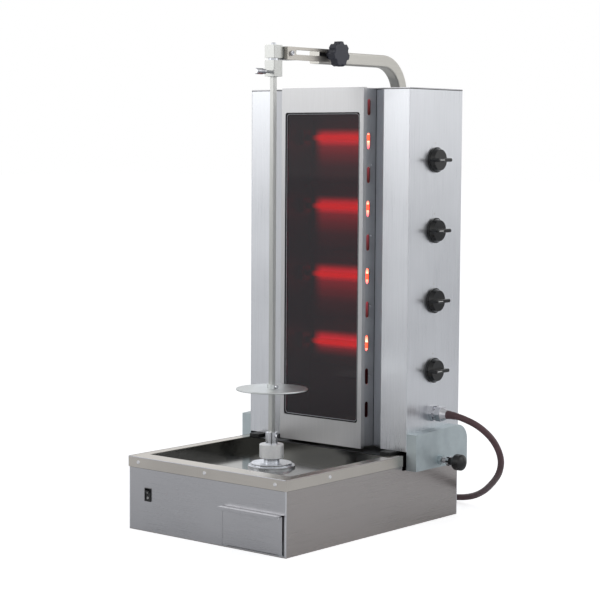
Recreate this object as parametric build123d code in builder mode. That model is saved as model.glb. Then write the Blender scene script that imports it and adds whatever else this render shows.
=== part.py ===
from build123d import *
import os
from math import pi, radians, tan

# Upright electric doner kebab grill for a counter top, modelled in millimetres.
# The origin is the centre of the base cabinet's underside, +X to the right as seen by the cook,
# +Y to the back and +Z up. Each separate piece of the machine is one node in the parts folder.

os.makedirs("parts", exist_ok=True)

# Sheet and running clearances
SHEET = 1.5
RUNNING = 0.05
SLIDE_GAP = 0.3

# Base cabinet
BASE_W = 400.0
BASE_D = 540.0
BASE_H = 144.0
RIM_BAND = 21.0
RIM_SIDE = 22.0
RIM_FRONT = 36.5
TRAY_DEPTH = 24.0
TRAY_BEHIND_COLUMN = 30.5
DRAIN_D = 22.0

# Side notches for the clamp screws and the travel of the heater head
NOTCH_DROP = 30.5
NOTCH_BEFORE_COLUMN = 8.0
NOTCH_END = 15.0

# Fat drawer in the front right of the base
DRAWER_FROM_GEARBOX = 3.0
DRAWER_H = 72.0
DRAWER_RIGHT = 9.0
DRAWER_FINGER_GAP = 4.5
DRAWER_LIP = 15.0
DRAWER_BOX_L = 316.0
DRAWER_BOX_H = 63.0
DRAWER_WALL = 1.2
DRAWER_LIFT = 5.0

# Motor switch
ROCKER_X = -149.5
ROCKER_Z = 72.8
BEZEL_W = 16.0
BEZEL_H = 26.0
PADDLE_W = 11.8
PADDLE_H = 20.0
ROCKER_TILT = 8.0

# Spindle drive
SPINDLE_FROM_FRONT = 192.0
SHAFT_D = 16.0
GEARBOX = 84.0
GEARBOX_H = 60.0
MOTOR_D = 62.0
MOTOR_L = 108.0
FLANGE_D = 93.0
FLANGE_H = 9.0
NECK_D = 31.0
NECK_H = 9.2
COUPLING_D = 48.0
COUPLING_H = 27.0
COLLAR_D = 24.0
COLLAR_H = 23.0
BAR = 10.0
DISC_D = 141.0
DISC_T = 3.0
DISC_ABOVE_COLLAR = 83.5
HUB_D = 18.0
HUB_H = 8.0

# Heater head
HEAD_SIDE_OVER = 3.0
HEAD_D = 176.2
HEAD_BACK_SETBACK = 3.5
HEAD_LIFT = 6.5
HEAD_H = 711.2
CHEEK_RUN = 35.5
CHEEK_DEPTH = 21.7
ROOF_T = 2.0
FRAME_W = 210.0
FRAME_PROUD = 19.3
FRAME_T = 10.0
FRAME_OVER_ROOF = 1.3
FRAME_BORDER_SIDE = 9.7
FRAME_BORDER_BOTTOM = 50.5
FRAME_BORDER_TOP = 49.0
GLASS_T = 4.0
SLOT_COUNT = 10
SLOT_W = 10.0
SLOT_H = 32.0
SLOT_FROM_FLOOR = 75.0
SLOT_FROM_ROOF = 37.7

# Radiant elements and their controls
HEATERS = 4
HEATER_D = 12.0
HEATER_BEHIND_GLASS = 63.0
HEATER_FROM_OPENING = 148.2
HEATER_TO_OPENING = 49.8
KNOB_BELOW_HEATER = 42.7
KNOB_SKIRT_D = 50.0
KNOB_DEPTH = 25.0
KNOB_SHAFT_D = 6.0

# Mast, arm and top bearing
TUBE = 25.0
TUBE_WALL = 2.0
TUBE_CORNER = 3.0
BEND_R = 67.5
ARM_ABOVE_HEAD = 60.3
MAST_BEHIND_HEAD = 47.5
MAST_FOOT_ABOVE_BASE = 66.0
TUBE_END_FROM_SPINDLE = 124.0
STAR_FROM_SPINDLE = 148.0
STAR_D = 50.0
STAR_T = 16.0
STAR_BOSS = 14.0
ARM_BOLT_D = 8.0
EXT_T = 8.0
EXT_TAIL = 21.0
EXT_RAISE = 3.5
SLOT_RAISE = 6.0
CUBE = 25.0
CUBE_RAISE = 6.0
PIN_D = 10.0
PIN_PROUD = 4.5
CLAMP_H = 31.0
SHOULDER_H = 4.2

# Zinc side brackets and their clamp screws
HEAD_TRAVEL = 70.0
BRACKET_T = 24.0
BRACKET_WALL = 4.0
BRACKET_L = 174.0
BRACKET_FRONT_H = 72.0
BRACKET_REAR_H = 79.0
BRACKET_CORNER = 34.0
CLAMP_SCREW_D = 10.0
CLAMP_FROM_BRACKET_FRONT = 79.0
CLAMP_FROM_BRACKET_FOOT = 14.5
CLAMP_KNOB_D = 32.0
CLAMP_REACH = 29.0

# Mains cable
CABLE_D = 13.0
GLAND_ABOVE_HEAD_FLOOR = 67.9
GLAND_FROM_HEAD_BACK = 88.5
GLAND_L = 36.0
COIL_X = -60.0
COIL_Y = 452.0
COIL_OUTER_R = 85.0
COIL_INNER_R = 46.0

# Levels and faces that follow from the driving dimensions
HALF_W = BASE_W / 2
FRONT_Y = -BASE_D / 2
BACK_Y = BASE_D / 2
SHELL_TOP = BASE_H - SHEET
RIM_HALF = HALF_W + SHEET
TRAY_HALF = RIM_HALF - RIM_SIDE
TRAY_FLOOR = BASE_H - TRAY_DEPTH
SPINDLE_Y = FRONT_Y + SPINDLE_FROM_FRONT

HEAD_HALF = HALF_W + HEAD_SIDE_OVER
HEAD_BACK = BACK_Y - HEAD_BACK_SETBACK
COLUMN_FRONT = HEAD_BACK - HEAD_D
HEAD_BOTTOM = BASE_H + HEAD_LIFT
HEAD_TOP = HEAD_BOTTOM + HEAD_H
FRAME_HALF = FRAME_W / 2
FRAME_FRONT = COLUMN_FRONT - FRAME_PROUD
FRAME_BACK = FRAME_FRONT + FRAME_T
FRAME_BOTTOM = HEAD_BOTTOM - 2.0
FRAME_TOP = HEAD_TOP + FRAME_OVER_ROOF
OPENING_BOTTOM = FRAME_BOTTOM + FRAME_BORDER_BOTTOM
OPENING_TOP = FRAME_TOP - FRAME_BORDER_TOP
OPENING_HALF = FRAME_HALF - FRAME_BORDER_SIDE
GASKET_Y = FRAME_FRONT + SHEET
GLASS_Y = GASKET_Y + 2.0
HEATER_Y = GLASS_Y + HEATER_BEHIND_GLASS
REFLECTOR_Y = HEATER_Y + 24.0
HEATER_PITCH = (OPENING_TOP - OPENING_BOTTOM - HEATER_FROM_OPENING - HEATER_TO_OPENING) / (HEATERS - 1)
HEATER_Z = [OPENING_BOTTOM + HEATER_FROM_OPENING + i * HEATER_PITCH for i in range(HEATERS)]
KNOB_Z = [z - KNOB_BELOW_HEATER for z in HEATER_Z]
KNOB_Y = HEAD_BACK - HEAD_D / 2 - 2.0
TRAY_FRONT = FRONT_Y - SHEET + RIM_FRONT
TRAY_BACK = COLUMN_FRONT - TRAY_BEHIND_COLUMN
NOTCH_FRONT = COLUMN_FRONT - NOTCH_BEFORE_COLUMN
NOTCH_BACK = BACK_Y - NOTCH_END
NOTCH_FLOOR = BASE_H - NOTCH_DROP

FLANGE_TOP = TRAY_FLOOR + FLANGE_H
NECK_TOP = FLANGE_TOP + NECK_H
COUPLING_BOTTOM = NECK_TOP + SLIDE_GAP
COUPLING_TOP = COUPLING_BOTTOM + COUPLING_H
COLLAR_TOP = COUPLING_TOP + COLLAR_H
SHAFT_TOP = COUPLING_BOTTOM + 12.0
SPIGOT = 8.0
GEARBOX_TOP = TRAY_FLOOR - SPIGOT
SHAFT_BOTTOM = GEARBOX_TOP - 20.0
DISC_Z = COLLAR_TOP + DISC_ABOVE_COLLAR

ARM_Z = HEAD_TOP + ARM_ABOVE_HEAD
CUBE_BOTTOM = ARM_Z + CUBE_RAISE - CUBE / 2
CUBE_TOP = CUBE_BOTTOM + CUBE
CLAMP_TOP = CUBE_BOTTOM - SLIDE_GAP - SHOULDER_H
CLAMP_BOTTOM = CLAMP_TOP - CLAMP_H
CLAMP_WEB = 4.0
THUMB_Z = CLAMP_BOTTOM + 9.0
MAST_Y = HEAD_BACK + MAST_BEHIND_HEAD + TUBE / 2
MAST_FOOT = BASE_H + MAST_FOOT_ABOVE_BASE
TUBE_END = SPINDLE_Y + TUBE_END_FROM_SPINDLE
STAR_Y = SPINDLE_Y + STAR_FROM_SPINDLE
EXT_X = TUBE / 2 + SLIDE_GAP
SLOT_Z = ARM_Z + SLOT_RAISE
SLOT_GAP = 0.6
SLOT_BACK = STAR_Y + ARM_BOLT_D / 2 + 7.0
SLOT_FRONT = STAR_Y - HEAD_TRAVEL - ARM_BOLT_D / 2 - 33.0
EXT_FRONT = SPINDLE_Y + CUBE / 2 + 4.6
EXT_BACK = STAR_Y + EXT_TAIL
STAR_X = EXT_X + EXT_T + SLIDE_GAP

BRACKET_FRONT = COLUMN_FRONT + 1.0
BRACKET_FOOT = NOTCH_FLOOR
BRACKET_BACK = BRACKET_FRONT + BRACKET_L
BRACKET_OUT = HEAD_HALF + BRACKET_T
CLAMP_Y = BRACKET_FRONT + CLAMP_FROM_BRACKET_FRONT
CLAMP_Z = BRACKET_FOOT + CLAMP_FROM_BRACKET_FOOT
RAIL_OUT = HALF_W - 16.0
NUT_T = 8.0

DRAWER_X1 = HALF_W - DRAWER_RIGHT
DRAWER_X0 = GEARBOX / 2 + DRAWER_FROM_GEARBOX
DRAWER_Z0 = 4.5
DRAWER_Z1 = DRAWER_Z0 + DRAWER_H
BOX_X0 = DRAWER_X0 + 2.0
BOX_X1 = DRAWER_X1 - 2.0

GLAND_Y = HEAD_BACK - GLAND_FROM_HEAD_BACK
GLAND_Z = HEAD_BOTTOM + GLAND_ABOVE_HEAD_FLOOR
GLAND_OUT = HEAD_HALF + GLAND_L


# Helpers: a box between two corners, a bar of round or hexagonal section along X, a saved node
def block(low, high, mode=Mode.ADD):
    centre = [(a + b) / 2 for a, b in zip(low, high)]
    size = [b - a for a, b in zip(low, high)]
    with Locations(tuple(centre)):
        Box(*size, mode=mode)


def round_x(x0, x1, y, z, diameter, mode=Mode.ADD):
    with Locations(Location(((x0 + x1) / 2, y, z), (0, 90, 0))):
        Cylinder(diameter / 2, abs(x1 - x0), mode=mode)


def round_z(x, y, z0, z1, diameter, mode=Mode.ADD):
    with Locations((x, y, (z0 + z1) / 2)):
        Cylinder(diameter / 2, z1 - z0, mode=mode)


def square_z(x, y, z0, z1, side, mode=Mode.ADD):
    block((x - side / 2, y - side / 2, z0), (x + side / 2, y + side / 2, z1), mode)


nodes = {}


# Base cabinet: floor and both side walls folded from one sheet, notched for the clamp screws
with BuildPart() as base_pan:
    block((-HALF_W, FRONT_Y, 0), (HALF_W, BACK_Y, SHELL_TOP))
    block((-HALF_W + SHEET, FRONT_Y, SHEET), (HALF_W - SHEET, BACK_Y, SHELL_TOP), Mode.SUBTRACT)
    block((-HALF_W, NOTCH_FRONT, NOTCH_FLOOR), (HALF_W, NOTCH_BACK, SHELL_TOP), Mode.SUBTRACT)
nodes["base_pan"] = base_pan

DRAWER_REVEAL = 0.4
CUT_X0 = DRAWER_X0 - DRAWER_REVEAL
CUT_X1 = DRAWER_X1 + DRAWER_FINGER_GAP
CUT_Z0 = DRAWER_Z0 - 1.0
CUT_Z1 = DRAWER_Z1 + SHEET + DRAWER_REVEAL
SWITCH_HALF_W = PADDLE_W / 2 + 0.8
SWITCH_HALF_H = BEZEL_H / 2 - 1.4
with BuildPart() as base_front_panel:
    block((-HALF_W + SHEET, FRONT_Y, SHEET), (HALF_W - SHEET, FRONT_Y + SHEET, SHELL_TOP))
    block((CUT_X0, FRONT_Y, CUT_Z0), (CUT_X1, FRONT_Y + SHEET, CUT_Z1), Mode.SUBTRACT)
    block(
        (ROCKER_X - SWITCH_HALF_W, FRONT_Y, ROCKER_Z - SWITCH_HALF_H),
        (ROCKER_X + SWITCH_HALF_W, FRONT_Y + SHEET, ROCKER_Z + SWITCH_HALF_H),
        Mode.SUBTRACT,
    )
nodes["base_front_panel"] = base_front_panel

VENT_W = 4.0
VENT_H = 48.0
VENT_PITCH = 12.0
VENT_COUNT = 9
with BuildPart() as base_rear_panel:
    block((-HALF_W + SHEET, BACK_Y - SHEET, SHEET), (HALF_W - SHEET, BACK_Y, SHELL_TOP))
    with BuildSketch(Plane.XZ.offset(-BACK_Y)) as base_vents:
        with Locations((-HALF_W / 2, BASE_H / 2)):
            with GridLocations(VENT_PITCH, 0, VENT_COUNT, 1):
                SlotOverall(VENT_H, VENT_W, rotation=90)
    extrude(amount=SHEET, mode=Mode.SUBTRACT)
nodes["base_rear_panel"] = base_rear_panel


# Rim: folded strips with a hanging band, round the drip tray
BAND_BOTTOM = BASE_H - RIM_BAND
with BuildPart() as rim_front:
    block((-RIM_HALF, FRONT_Y - SHEET, BAND_BOTTOM), (RIM_HALF, FRONT_Y, BASE_H))
    block((-TRAY_HALF, FRONT_Y - SHEET, SHELL_TOP), (TRAY_HALF, TRAY_FRONT, BASE_H))
nodes["rim_front"] = rim_front

with BuildPart() as rim_right:
    block((TRAY_HALF, FRONT_Y, SHELL_TOP), (RIM_HALF, NOTCH_FRONT, BASE_H))
    block((HALF_W, FRONT_Y, BAND_BOTTOM), (RIM_HALF, NOTCH_FRONT, BASE_H))
nodes["rim_right"] = rim_right

with BuildPart() as rim_left:
    mirror(rim_right.part, about=Plane.YZ)
nodes["rim_left"] = rim_left

with BuildPart() as rear_deck:
    block((-TRAY_HALF, TRAY_BACK, SHELL_TOP), (TRAY_HALF, BACK_Y, BASE_H))
    block((-RAIL_OUT, NOTCH_FRONT, SHELL_TOP), (RAIL_OUT, NOTCH_BACK, BASE_H))
    block((-HALF_W, NOTCH_BACK, SHELL_TOP), (HALF_W, BACK_Y, BASE_H))
    block((-HALF_W, BACK_Y, BAND_BOTTOM), (HALF_W, BACK_Y + SHEET, BASE_H))
nodes["rear_deck"] = rear_deck

DRAIN_X = (BOX_X0 + BOX_X1) / 2
DRAIN_Y = TRAY_BACK - 40.0
with BuildPart() as drip_tray:
    block(
        (-TRAY_HALF - SHEET, TRAY_FRONT - SHEET, TRAY_FLOOR - SHEET),
        (TRAY_HALF + SHEET, TRAY_BACK + SHEET, SHELL_TOP),
    )
    block((-TRAY_HALF, TRAY_FRONT, TRAY_FLOOR), (TRAY_HALF, TRAY_BACK, SHELL_TOP), Mode.SUBTRACT)
    round_z(0, SPINDLE_Y, TRAY_FLOOR - SHEET, TRAY_FLOOR, NECK_D - 0.4, Mode.SUBTRACT)
    round_z(DRAIN_X, DRAIN_Y, TRAY_FLOOR - SHEET, TRAY_FLOOR, DRAIN_D, Mode.SUBTRACT)
nodes["drip_tray"] = drip_tray

RIVET_D = 8.0
RIVET_H = 1.6
RIVET_Z = BASE_H - RIM_BAND / 2
RIVET_FRONT_X = HALF_W - 25.3
RIVET_SIDE_Y = FRONT_Y + 125.0
with BuildPart() as rim_rivets:
    with BuildSketch(Plane.XZ.offset(-FRONT_Y + SHEET)) as front_rivets:
        with Locations((-RIVET_FRONT_X, RIVET_Z), (0, RIVET_Z), (RIVET_FRONT_X, RIVET_Z)):
            Circle(RIVET_D / 2)
    extrude(amount=RIVET_H, taper=35)
    with BuildSketch(Plane.YZ.offset(RIM_HALF)) as right_rivet:
        with Locations((RIVET_SIDE_Y, RIVET_Z)):
            Circle(RIVET_D / 2)
    extrude(amount=RIVET_H, taper=35)
    with BuildSketch(Plane.YZ.offset(-RIM_HALF)) as left_rivet:
        with Locations((RIVET_SIDE_Y, RIVET_Z)):
            Circle(RIVET_D / 2)
    extrude(amount=-RIVET_H, taper=35)
nodes["rim_rivets"] = rim_rivets


# Drawer runners: two angles on the cabinet floor
RUNNER_END = FRONT_Y + SHEET + DRAWER_BOX_L + 4.0
RUNNER_H = 30.0
RUNNER_GAP = 0.7
LEDGE_W = 9.0
LEDGE_Z = DRAWER_LIFT - SLIDE_GAP
with BuildPart() as drawer_runners:
    for side, wall in ((1, BOX_X0 - RUNNER_GAP), (-1, BOX_X1 + RUNNER_GAP)):
        outer = wall - side * SHEET
        inner = wall + side * LEDGE_W
        low, high = sorted((outer, wall))
        block((low, FRONT_Y + SHEET, SHEET), (high, RUNNER_END, RUNNER_H))
        low, high = sorted((outer, inner))
        block((low, FRONT_Y + SHEET, LEDGE_Z - SHEET), (high, RUNNER_END, LEDGE_Z))
nodes["drawer_runners"] = drawer_runners

LIP_EDGE = 3.5
LIP_FRONT = FRONT_Y - DRAWER_LIP
with BuildPart() as drawer_front:
    block((DRAWER_X0, FRONT_Y, DRAWER_Z0), (DRAWER_X1, FRONT_Y + SHEET, DRAWER_Z1))
    block((DRAWER_X0, LIP_FRONT, DRAWER_Z1 - 0.2), (DRAWER_X1, FRONT_Y + SHEET, DRAWER_Z1 + SHEET))
    block((DRAWER_X0, LIP_FRONT, DRAWER_Z1 - LIP_EDGE), (DRAWER_X1, LIP_FRONT + 1.2, DRAWER_Z1 + SHEET))
nodes["drawer_front"] = drawer_front

BOX_FRONT = FRONT_Y + SHEET
BOX_BACK = BOX_FRONT + DRAWER_BOX_L
with BuildPart() as drawer_box:
    block((BOX_X0, BOX_FRONT, DRAWER_LIFT), (BOX_X1, BOX_BACK, DRAWER_LIFT + DRAWER_BOX_H))
    block(
        (BOX_X0 + DRAWER_WALL, BOX_FRONT + DRAWER_WALL, DRAWER_LIFT + DRAWER_WALL),
        (BOX_X1 - DRAWER_WALL, BOX_BACK - DRAWER_WALL, DRAWER_LIFT + DRAWER_BOX_H),
        Mode.SUBTRACT,
    )
nodes["drawer_box"] = drawer_box


# Motor switch: a snap-in frame and a rocking paddle
WINDOW_W = PADDLE_W + 0.6
WINDOW_H = BEZEL_H - 3.2
BEZEL_T = 2.0
SWITCH_DEPTH = 24.0
PADDLE_ROOM = 14.0
PIVOT_Y = FRONT_Y + 6.0
PIVOT_D = 3.0
SWITCH_X0 = ROCKER_X - SWITCH_HALF_W
SWITCH_X1 = ROCKER_X + SWITCH_HALF_W
with BuildPart() as rocker_bezel:
    block(
        (ROCKER_X - BEZEL_W / 2, FRONT_Y - BEZEL_T, ROCKER_Z - BEZEL_H / 2),
        (ROCKER_X + BEZEL_W / 2, FRONT_Y, ROCKER_Z + BEZEL_H / 2),
    )
    block(
        (ROCKER_X - SWITCH_HALF_W, FRONT_Y, ROCKER_Z - SWITCH_HALF_H),
        (ROCKER_X + SWITCH_HALF_W, FRONT_Y + SWITCH_DEPTH, ROCKER_Z + SWITCH_HALF_H),
    )
    block(
        (ROCKER_X - WINDOW_W / 2, FRONT_Y - BEZEL_T, ROCKER_Z - WINDOW_H / 2),
        (ROCKER_X + WINDOW_W / 2, FRONT_Y + PADDLE_ROOM, ROCKER_Z + WINDOW_H / 2),
        Mode.SUBTRACT,
    )
    round_x(SWITCH_X0, SWITCH_X1, PIVOT_Y, ROCKER_Z, PIVOT_D + 2 * RUNNING, Mode.SUBTRACT)
nodes["rocker_bezel"] = rocker_bezel

half = PADDLE_H / 2
paddle_side = Plane(
    origin=(ROCKER_X - PADDLE_W / 2, PIVOT_Y, ROCKER_Z),
    x_dir=Vector(0, 1, 0).rotate(Axis.X, ROCKER_TILT),
    z_dir=(1, 0, 0),
)
with BuildPart() as rocker_paddle:
    with BuildSketch(paddle_side):
        with BuildLine():
            Polyline(
                (-8.8, half), (-6.6, 0), (-8.8, -half), (-2, -half - 0.2),
                (6, -half / 2), (6, half / 2), (-2, half + 0.2), close=True,
            )
        make_face()
    extrude(amount=PADDLE_W)
    round_x(SWITCH_X0, SWITCH_X1, PIVOT_Y, ROCKER_Z, PIVOT_D)
nodes["rocker_paddle"] = rocker_paddle


# Spindle drive: gearbox under the tray, motor on its left, bearing flange on the tray floor
with BuildPart() as gearbox:
    block(
        (-GEARBOX / 2, SPINDLE_Y - GEARBOX / 2, GEARBOX_TOP - GEARBOX_H),
        (GEARBOX / 2, SPINDLE_Y + GEARBOX / 2, GEARBOX_TOP),
    )
    fillet(gearbox.edges().filter_by(Axis.Z), 8.0)
    chamfer(gearbox.faces().sort_by(Axis.Z)[0].edges(), 2.0)
    round_z(0, SPINDLE_Y, SHAFT_BOTTOM, GEARBOX_TOP, SHAFT_D + 2 * RUNNING, Mode.SUBTRACT)
nodes["gearbox"] = gearbox

MOTOR_Z = GEARBOX_TOP - GEARBOX_H / 2
FIN_GROOVES = 5
FIN_PITCH = 16.0
FIN_GROOVE_W = 6.0
FIN_START = 22.0
with BuildPart() as gear_motor:
    round_x(-GEARBOX / 2 - MOTOR_L, -GEARBOX / 2, SPINDLE_Y, MOTOR_Z, MOTOR_D)
    for i in range(FIN_GROOVES):
        x0 = -GEARBOX / 2 - FIN_START - i * FIN_PITCH
        round_x(x0 - FIN_GROOVE_W, x0, SPINDLE_Y, MOTOR_Z, MOTOR_D + 2.0, Mode.SUBTRACT)
        round_x(x0 - FIN_GROOVE_W, x0, SPINDLE_Y, MOTOR_Z, MOTOR_D - 5.0)
nodes["gear_motor"] = gear_motor

spindle_section = Plane(origin=(0, SPINDLE_Y, 0), x_dir=(1, 0, 0), z_dir=(0, -1, 0))
bore_r = SHAFT_D / 2 + RUNNING
with BuildPart() as bearing_flange:
    with BuildSketch(spindle_section):
        with BuildLine():
            Polyline(
                (bore_r, GEARBOX_TOP), (NECK_D / 2 - 0.7, GEARBOX_TOP), (NECK_D / 2 - 0.7, TRAY_FLOOR),
                (FLANGE_D / 2, TRAY_FLOOR), (FLANGE_D / 2, TRAY_FLOOR + 3.8),
                (FLANGE_D / 2 - 1.2, TRAY_FLOOR + 5.0), (FLANGE_D / 2 - 6.0, TRAY_FLOOR + 5.0),
                (FLANGE_D / 2 - 6.0, FLANGE_TOP - 1.0), (FLANGE_D / 2 - 7.0, FLANGE_TOP),
                (NECK_D / 2, FLANGE_TOP), (NECK_D / 2, NECK_TOP), (bore_r, NECK_TOP), close=True,
            )
        make_face()
    revolve(axis=Axis((0, SPINDLE_Y, 0), (0, 0, 1)))
nodes["bearing_flange"] = bearing_flange

with BuildPart() as drive_shaft:
    round_z(0, SPINDLE_Y, SHAFT_BOTTOM + SLIDE_GAP, SHAFT_TOP, SHAFT_D)
nodes["drive_shaft"] = drive_shaft

SOCKET = BAR + 2 * RUNNING
with BuildPart() as spindle_coupling:
    round_z(0, SPINDLE_Y, COUPLING_BOTTOM, COUPLING_TOP, COUPLING_D)
    chamfer(spindle_coupling.edges().filter_by(GeomType.CIRCLE), 1.2)
    round_z(0, SPINDLE_Y, COUPLING_BOTTOM, SHAFT_TOP, SHAFT_D, Mode.SUBTRACT)
    square_z(0, SPINDLE_Y, SHAFT_TOP, COUPLING_TOP, SOCKET, Mode.SUBTRACT)
nodes["spindle_coupling"] = spindle_coupling

COLLAR_SCREW_Z = COUPLING_TOP + COLLAR_H - 7.0
COLLAR_SLIT = 2.0
with BuildPart() as spindle_collar:
    round_z(0, SPINDLE_Y, COUPLING_TOP, COLLAR_TOP, COLLAR_D)
    square_z(0, SPINDLE_Y, COUPLING_TOP, COLLAR_TOP, SOCKET, Mode.SUBTRACT)
    with Locations(Location((0, SPINDLE_Y, COUPLING_TOP + COLLAR_H / 2), (0, 0, -51))):
        with Locations((COLLAR_D / 2, 0, 0)):
            Box(COLLAR_D, COLLAR_SLIT, COLLAR_H, mode=Mode.SUBTRACT)
    round_x(0, COLLAR_D, SPINDLE_Y, COLLAR_SCREW_Z, 5.2, Mode.SUBTRACT)
nodes["spindle_collar"] = spindle_collar

with BuildPart() as collar_screw:
    round_x(BAR / 2, COLLAR_D / 2, SPINDLE_Y, COLLAR_SCREW_Z, 5.0)
    round_x(COLLAR_D / 2, COLLAR_D / 2 + 4.5, SPINDLE_Y, COLLAR_SCREW_Z, 8.0)
nodes["collar_screw"] = collar_screw

BAR_TOP = CLAMP_TOP - CLAMP_WEB
with BuildPart() as spindle_bar:
    square_z(0, SPINDLE_Y, SHAFT_TOP, BAR_TOP, BAR)
    chamfer(spindle_bar.edges().filter_by(Axis.Z), 0.8)
nodes["spindle_bar"] = spindle_bar

THUMB_D = 6.0
with BuildPart() as top_clamp_block:
    square_z(0, SPINDLE_Y, CLAMP_BOTTOM, CLAMP_TOP, CUBE)
    chamfer(top_clamp_block.edges().filter_by(Axis.Z), 1.0)
    square_z(0, SPINDLE_Y, CLAMP_BOTTOM, BAR_TOP, SOCKET, Mode.SUBTRACT)
    with Locations(Location((0, SPINDLE_Y - CUBE / 2, THUMB_Z), (90, 0, 0))):
        Cylinder(THUMB_D / 2 + RUNNING, CUBE, mode=Mode.SUBTRACT)
nodes["top_clamp_block"] = top_clamp_block

with BuildPart() as thumb_screw:
    with BuildSketch(Plane(origin=(0, SPINDLE_Y, THUMB_Z), x_dir=(0, -1, 0), z_dir=(1, 0, 0))):
        with BuildLine():
            face = CUBE / 2
            Polyline(
                (BAR / 2, 0), (BAR / 2, THUMB_D / 2), (face + 13.0, THUMB_D / 2), (face + 13.0, 5.0),
                (face + 18.0, 5.0), (face + 18.0, 4.0), (face + 20.0, 4.0), (face + 21.0, 6.0),
                (face + 37.0, 6.0), (face + 39.0, 4.5), (face + 39.0, 0), close=True,
            )
        make_face()
    revolve(axis=Axis((0, SPINDLE_Y, THUMB_Z), (0, 1, 0)))
nodes["thumb_screw"] = thumb_screw

with BuildPart() as pivot_pin:
    round_z(0, SPINDLE_Y, CLAMP_TOP, CLAMP_TOP + SHOULDER_H, 2 * PIN_D)
    round_z(0, SPINDLE_Y, CLAMP_TOP + SHOULDER_H, CUBE_TOP + PIN_PROUD, PIN_D)
    chamfer(pivot_pin.faces().sort_by(Axis.Z)[-1].edges(), 1.2)
nodes["pivot_pin"] = pivot_pin

with BuildPart() as meat_disc:
    round_z(0, SPINDLE_Y, DISC_Z, DISC_Z + DISC_T, DISC_D)
    fillet(meat_disc.edges().filter_by(GeomType.CIRCLE), 1.0)
    round_z(0, SPINDLE_Y, DISC_Z + DISC_T, DISC_Z + DISC_T + HUB_H, HUB_D)
    square_z(0, SPINDLE_Y, DISC_Z, DISC_Z + DISC_T + HUB_H, BAR + 4 * RUNNING, Mode.SUBTRACT)
    round_x(0, HUB_D, SPINDLE_Y, DISC_Z + DISC_T + HUB_H / 2, 4.1, Mode.SUBTRACT)
    block((BAR / 2, SPINDLE_Y - 0.8, DISC_Z), (DISC_D, SPINDLE_Y + 0.8, DISC_Z + DISC_T), Mode.SUBTRACT)
nodes["meat_disc"] = meat_disc

with BuildPart() as disc_set_screw:
    round_x(BAR / 2 + 0.2, HUB_D / 2 + 1.0, SPINDLE_Y, DISC_Z + DISC_T + HUB_H / 2, 4.0)
    round_x(HUB_D / 2 + 1.0, HUB_D / 2 + 5.0, SPINDLE_Y, DISC_Z + DISC_T + HUB_H / 2, 7.0)
nodes["disc_set_screw"] = disc_set_screw


# Slide rails: flat strips that carry the head, and clamp bars under the deck for the screws
STRIP_W = 24.0
STRIP_IN = HALF_W - 42.0
with BuildPart() as slide_rails:
    for side in (-1, 1):
        low, high = sorted((side * STRIP_IN, side * (STRIP_IN + STRIP_W)))
        block((low, TRAY_BACK + 4.0, BASE_H), (high, BACK_Y - 6.0, HEAD_BOTTOM - SLIDE_GAP))
        low, high = sorted((side * (RAIL_OUT - 8.0), side * (RAIL_OUT - 2.0)))
        block((low, NOTCH_FRONT, NOTCH_FLOOR), (high, NOTCH_BACK, SHELL_TOP))
nodes["slide_rails"] = slide_rails


# Heater head: plan outline with the two columns, the angled cheeks and the forward housing
CHEEK_X = FRAME_HALF + CHEEK_RUN
CHEEK_Y = COLUMN_FRONT + CHEEK_DEPTH


def head_plan():
    right = [
        (FRAME_HALF, FRAME_BACK), (FRAME_HALF, CHEEK_Y), (CHEEK_X, COLUMN_FRONT),
        (HEAD_HALF, COLUMN_FRONT), (HEAD_HALF, HEAD_BACK),
    ]
    left = [(-x, y) for x, y in reversed(right)]
    return right + left


def plan_face(inset=0.0):
    with BuildSketch(Plane.XY) as plan:
        with BuildLine():
            Polyline(*head_plan(), close=True)
        make_face()
        if inset:
            offset(amount=-inset, kind=Kind.INTERSECTION)
    return plan.sketch


COLUMN_RETURN = 20.0
with BuildPart() as right_column:
    with BuildSketch(Plane.XY.offset(HEAD_BOTTOM)):
        add(plan_face())
        add(plan_face(SHEET), mode=Mode.SUBTRACT)
        with Locations((FRAME_HALF - BASE_W, 0)):
            Rectangle(2 * BASE_W, 4 * BASE_D, mode=Mode.SUBTRACT)
        with Locations((0, HEAD_BACK)):
            Rectangle(2 * (HEAD_HALF - COLUMN_RETURN), 4 * SHEET, mode=Mode.SUBTRACT)
    extrude(amount=HEAD_H - ROOF_T)
    for z in KNOB_Z:
        round_x(HEAD_HALF - 2 * SHEET, HEAD_HALF + SHEET, KNOB_Y, z, KNOB_SHAFT_D + 1.0, Mode.SUBTRACT)
    round_x(HEAD_HALF - 2 * SHEET, HEAD_HALF + SHEET, GLAND_Y, GLAND_Z, 20.2, Mode.SUBTRACT)
nodes["right_column"] = right_column

with BuildPart() as left_column:
    with BuildSketch(Plane.XY.offset(HEAD_BOTTOM)):
        add(plan_face())
        add(plan_face(SHEET), mode=Mode.SUBTRACT)
        with Locations((BASE_W - FRAME_HALF, 0)):
            Rectangle(2 * BASE_W, 4 * BASE_D, mode=Mode.SUBTRACT)
        with Locations((0, HEAD_BACK)):
            Rectangle(2 * (HEAD_HALF - COLUMN_RETURN), 4 * SHEET, mode=Mode.SUBTRACT)
    extrude(amount=HEAD_H - ROOF_T)
nodes["left_column"] = left_column

with BuildPart() as roof_panel:
    with BuildSketch(Plane.XY.offset(HEAD_TOP - ROOF_T)):
        add(plan_face())
    extrude(amount=ROOF_T)
nodes["roof_panel"] = roof_panel

with BuildPart() as head_floor:
    with BuildSketch(Plane.XY.offset(HEAD_BOTTOM)):
        add(plan_face(SHEET))
    extrude(amount=SHEET)
nodes["head_floor"] = head_floor

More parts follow.
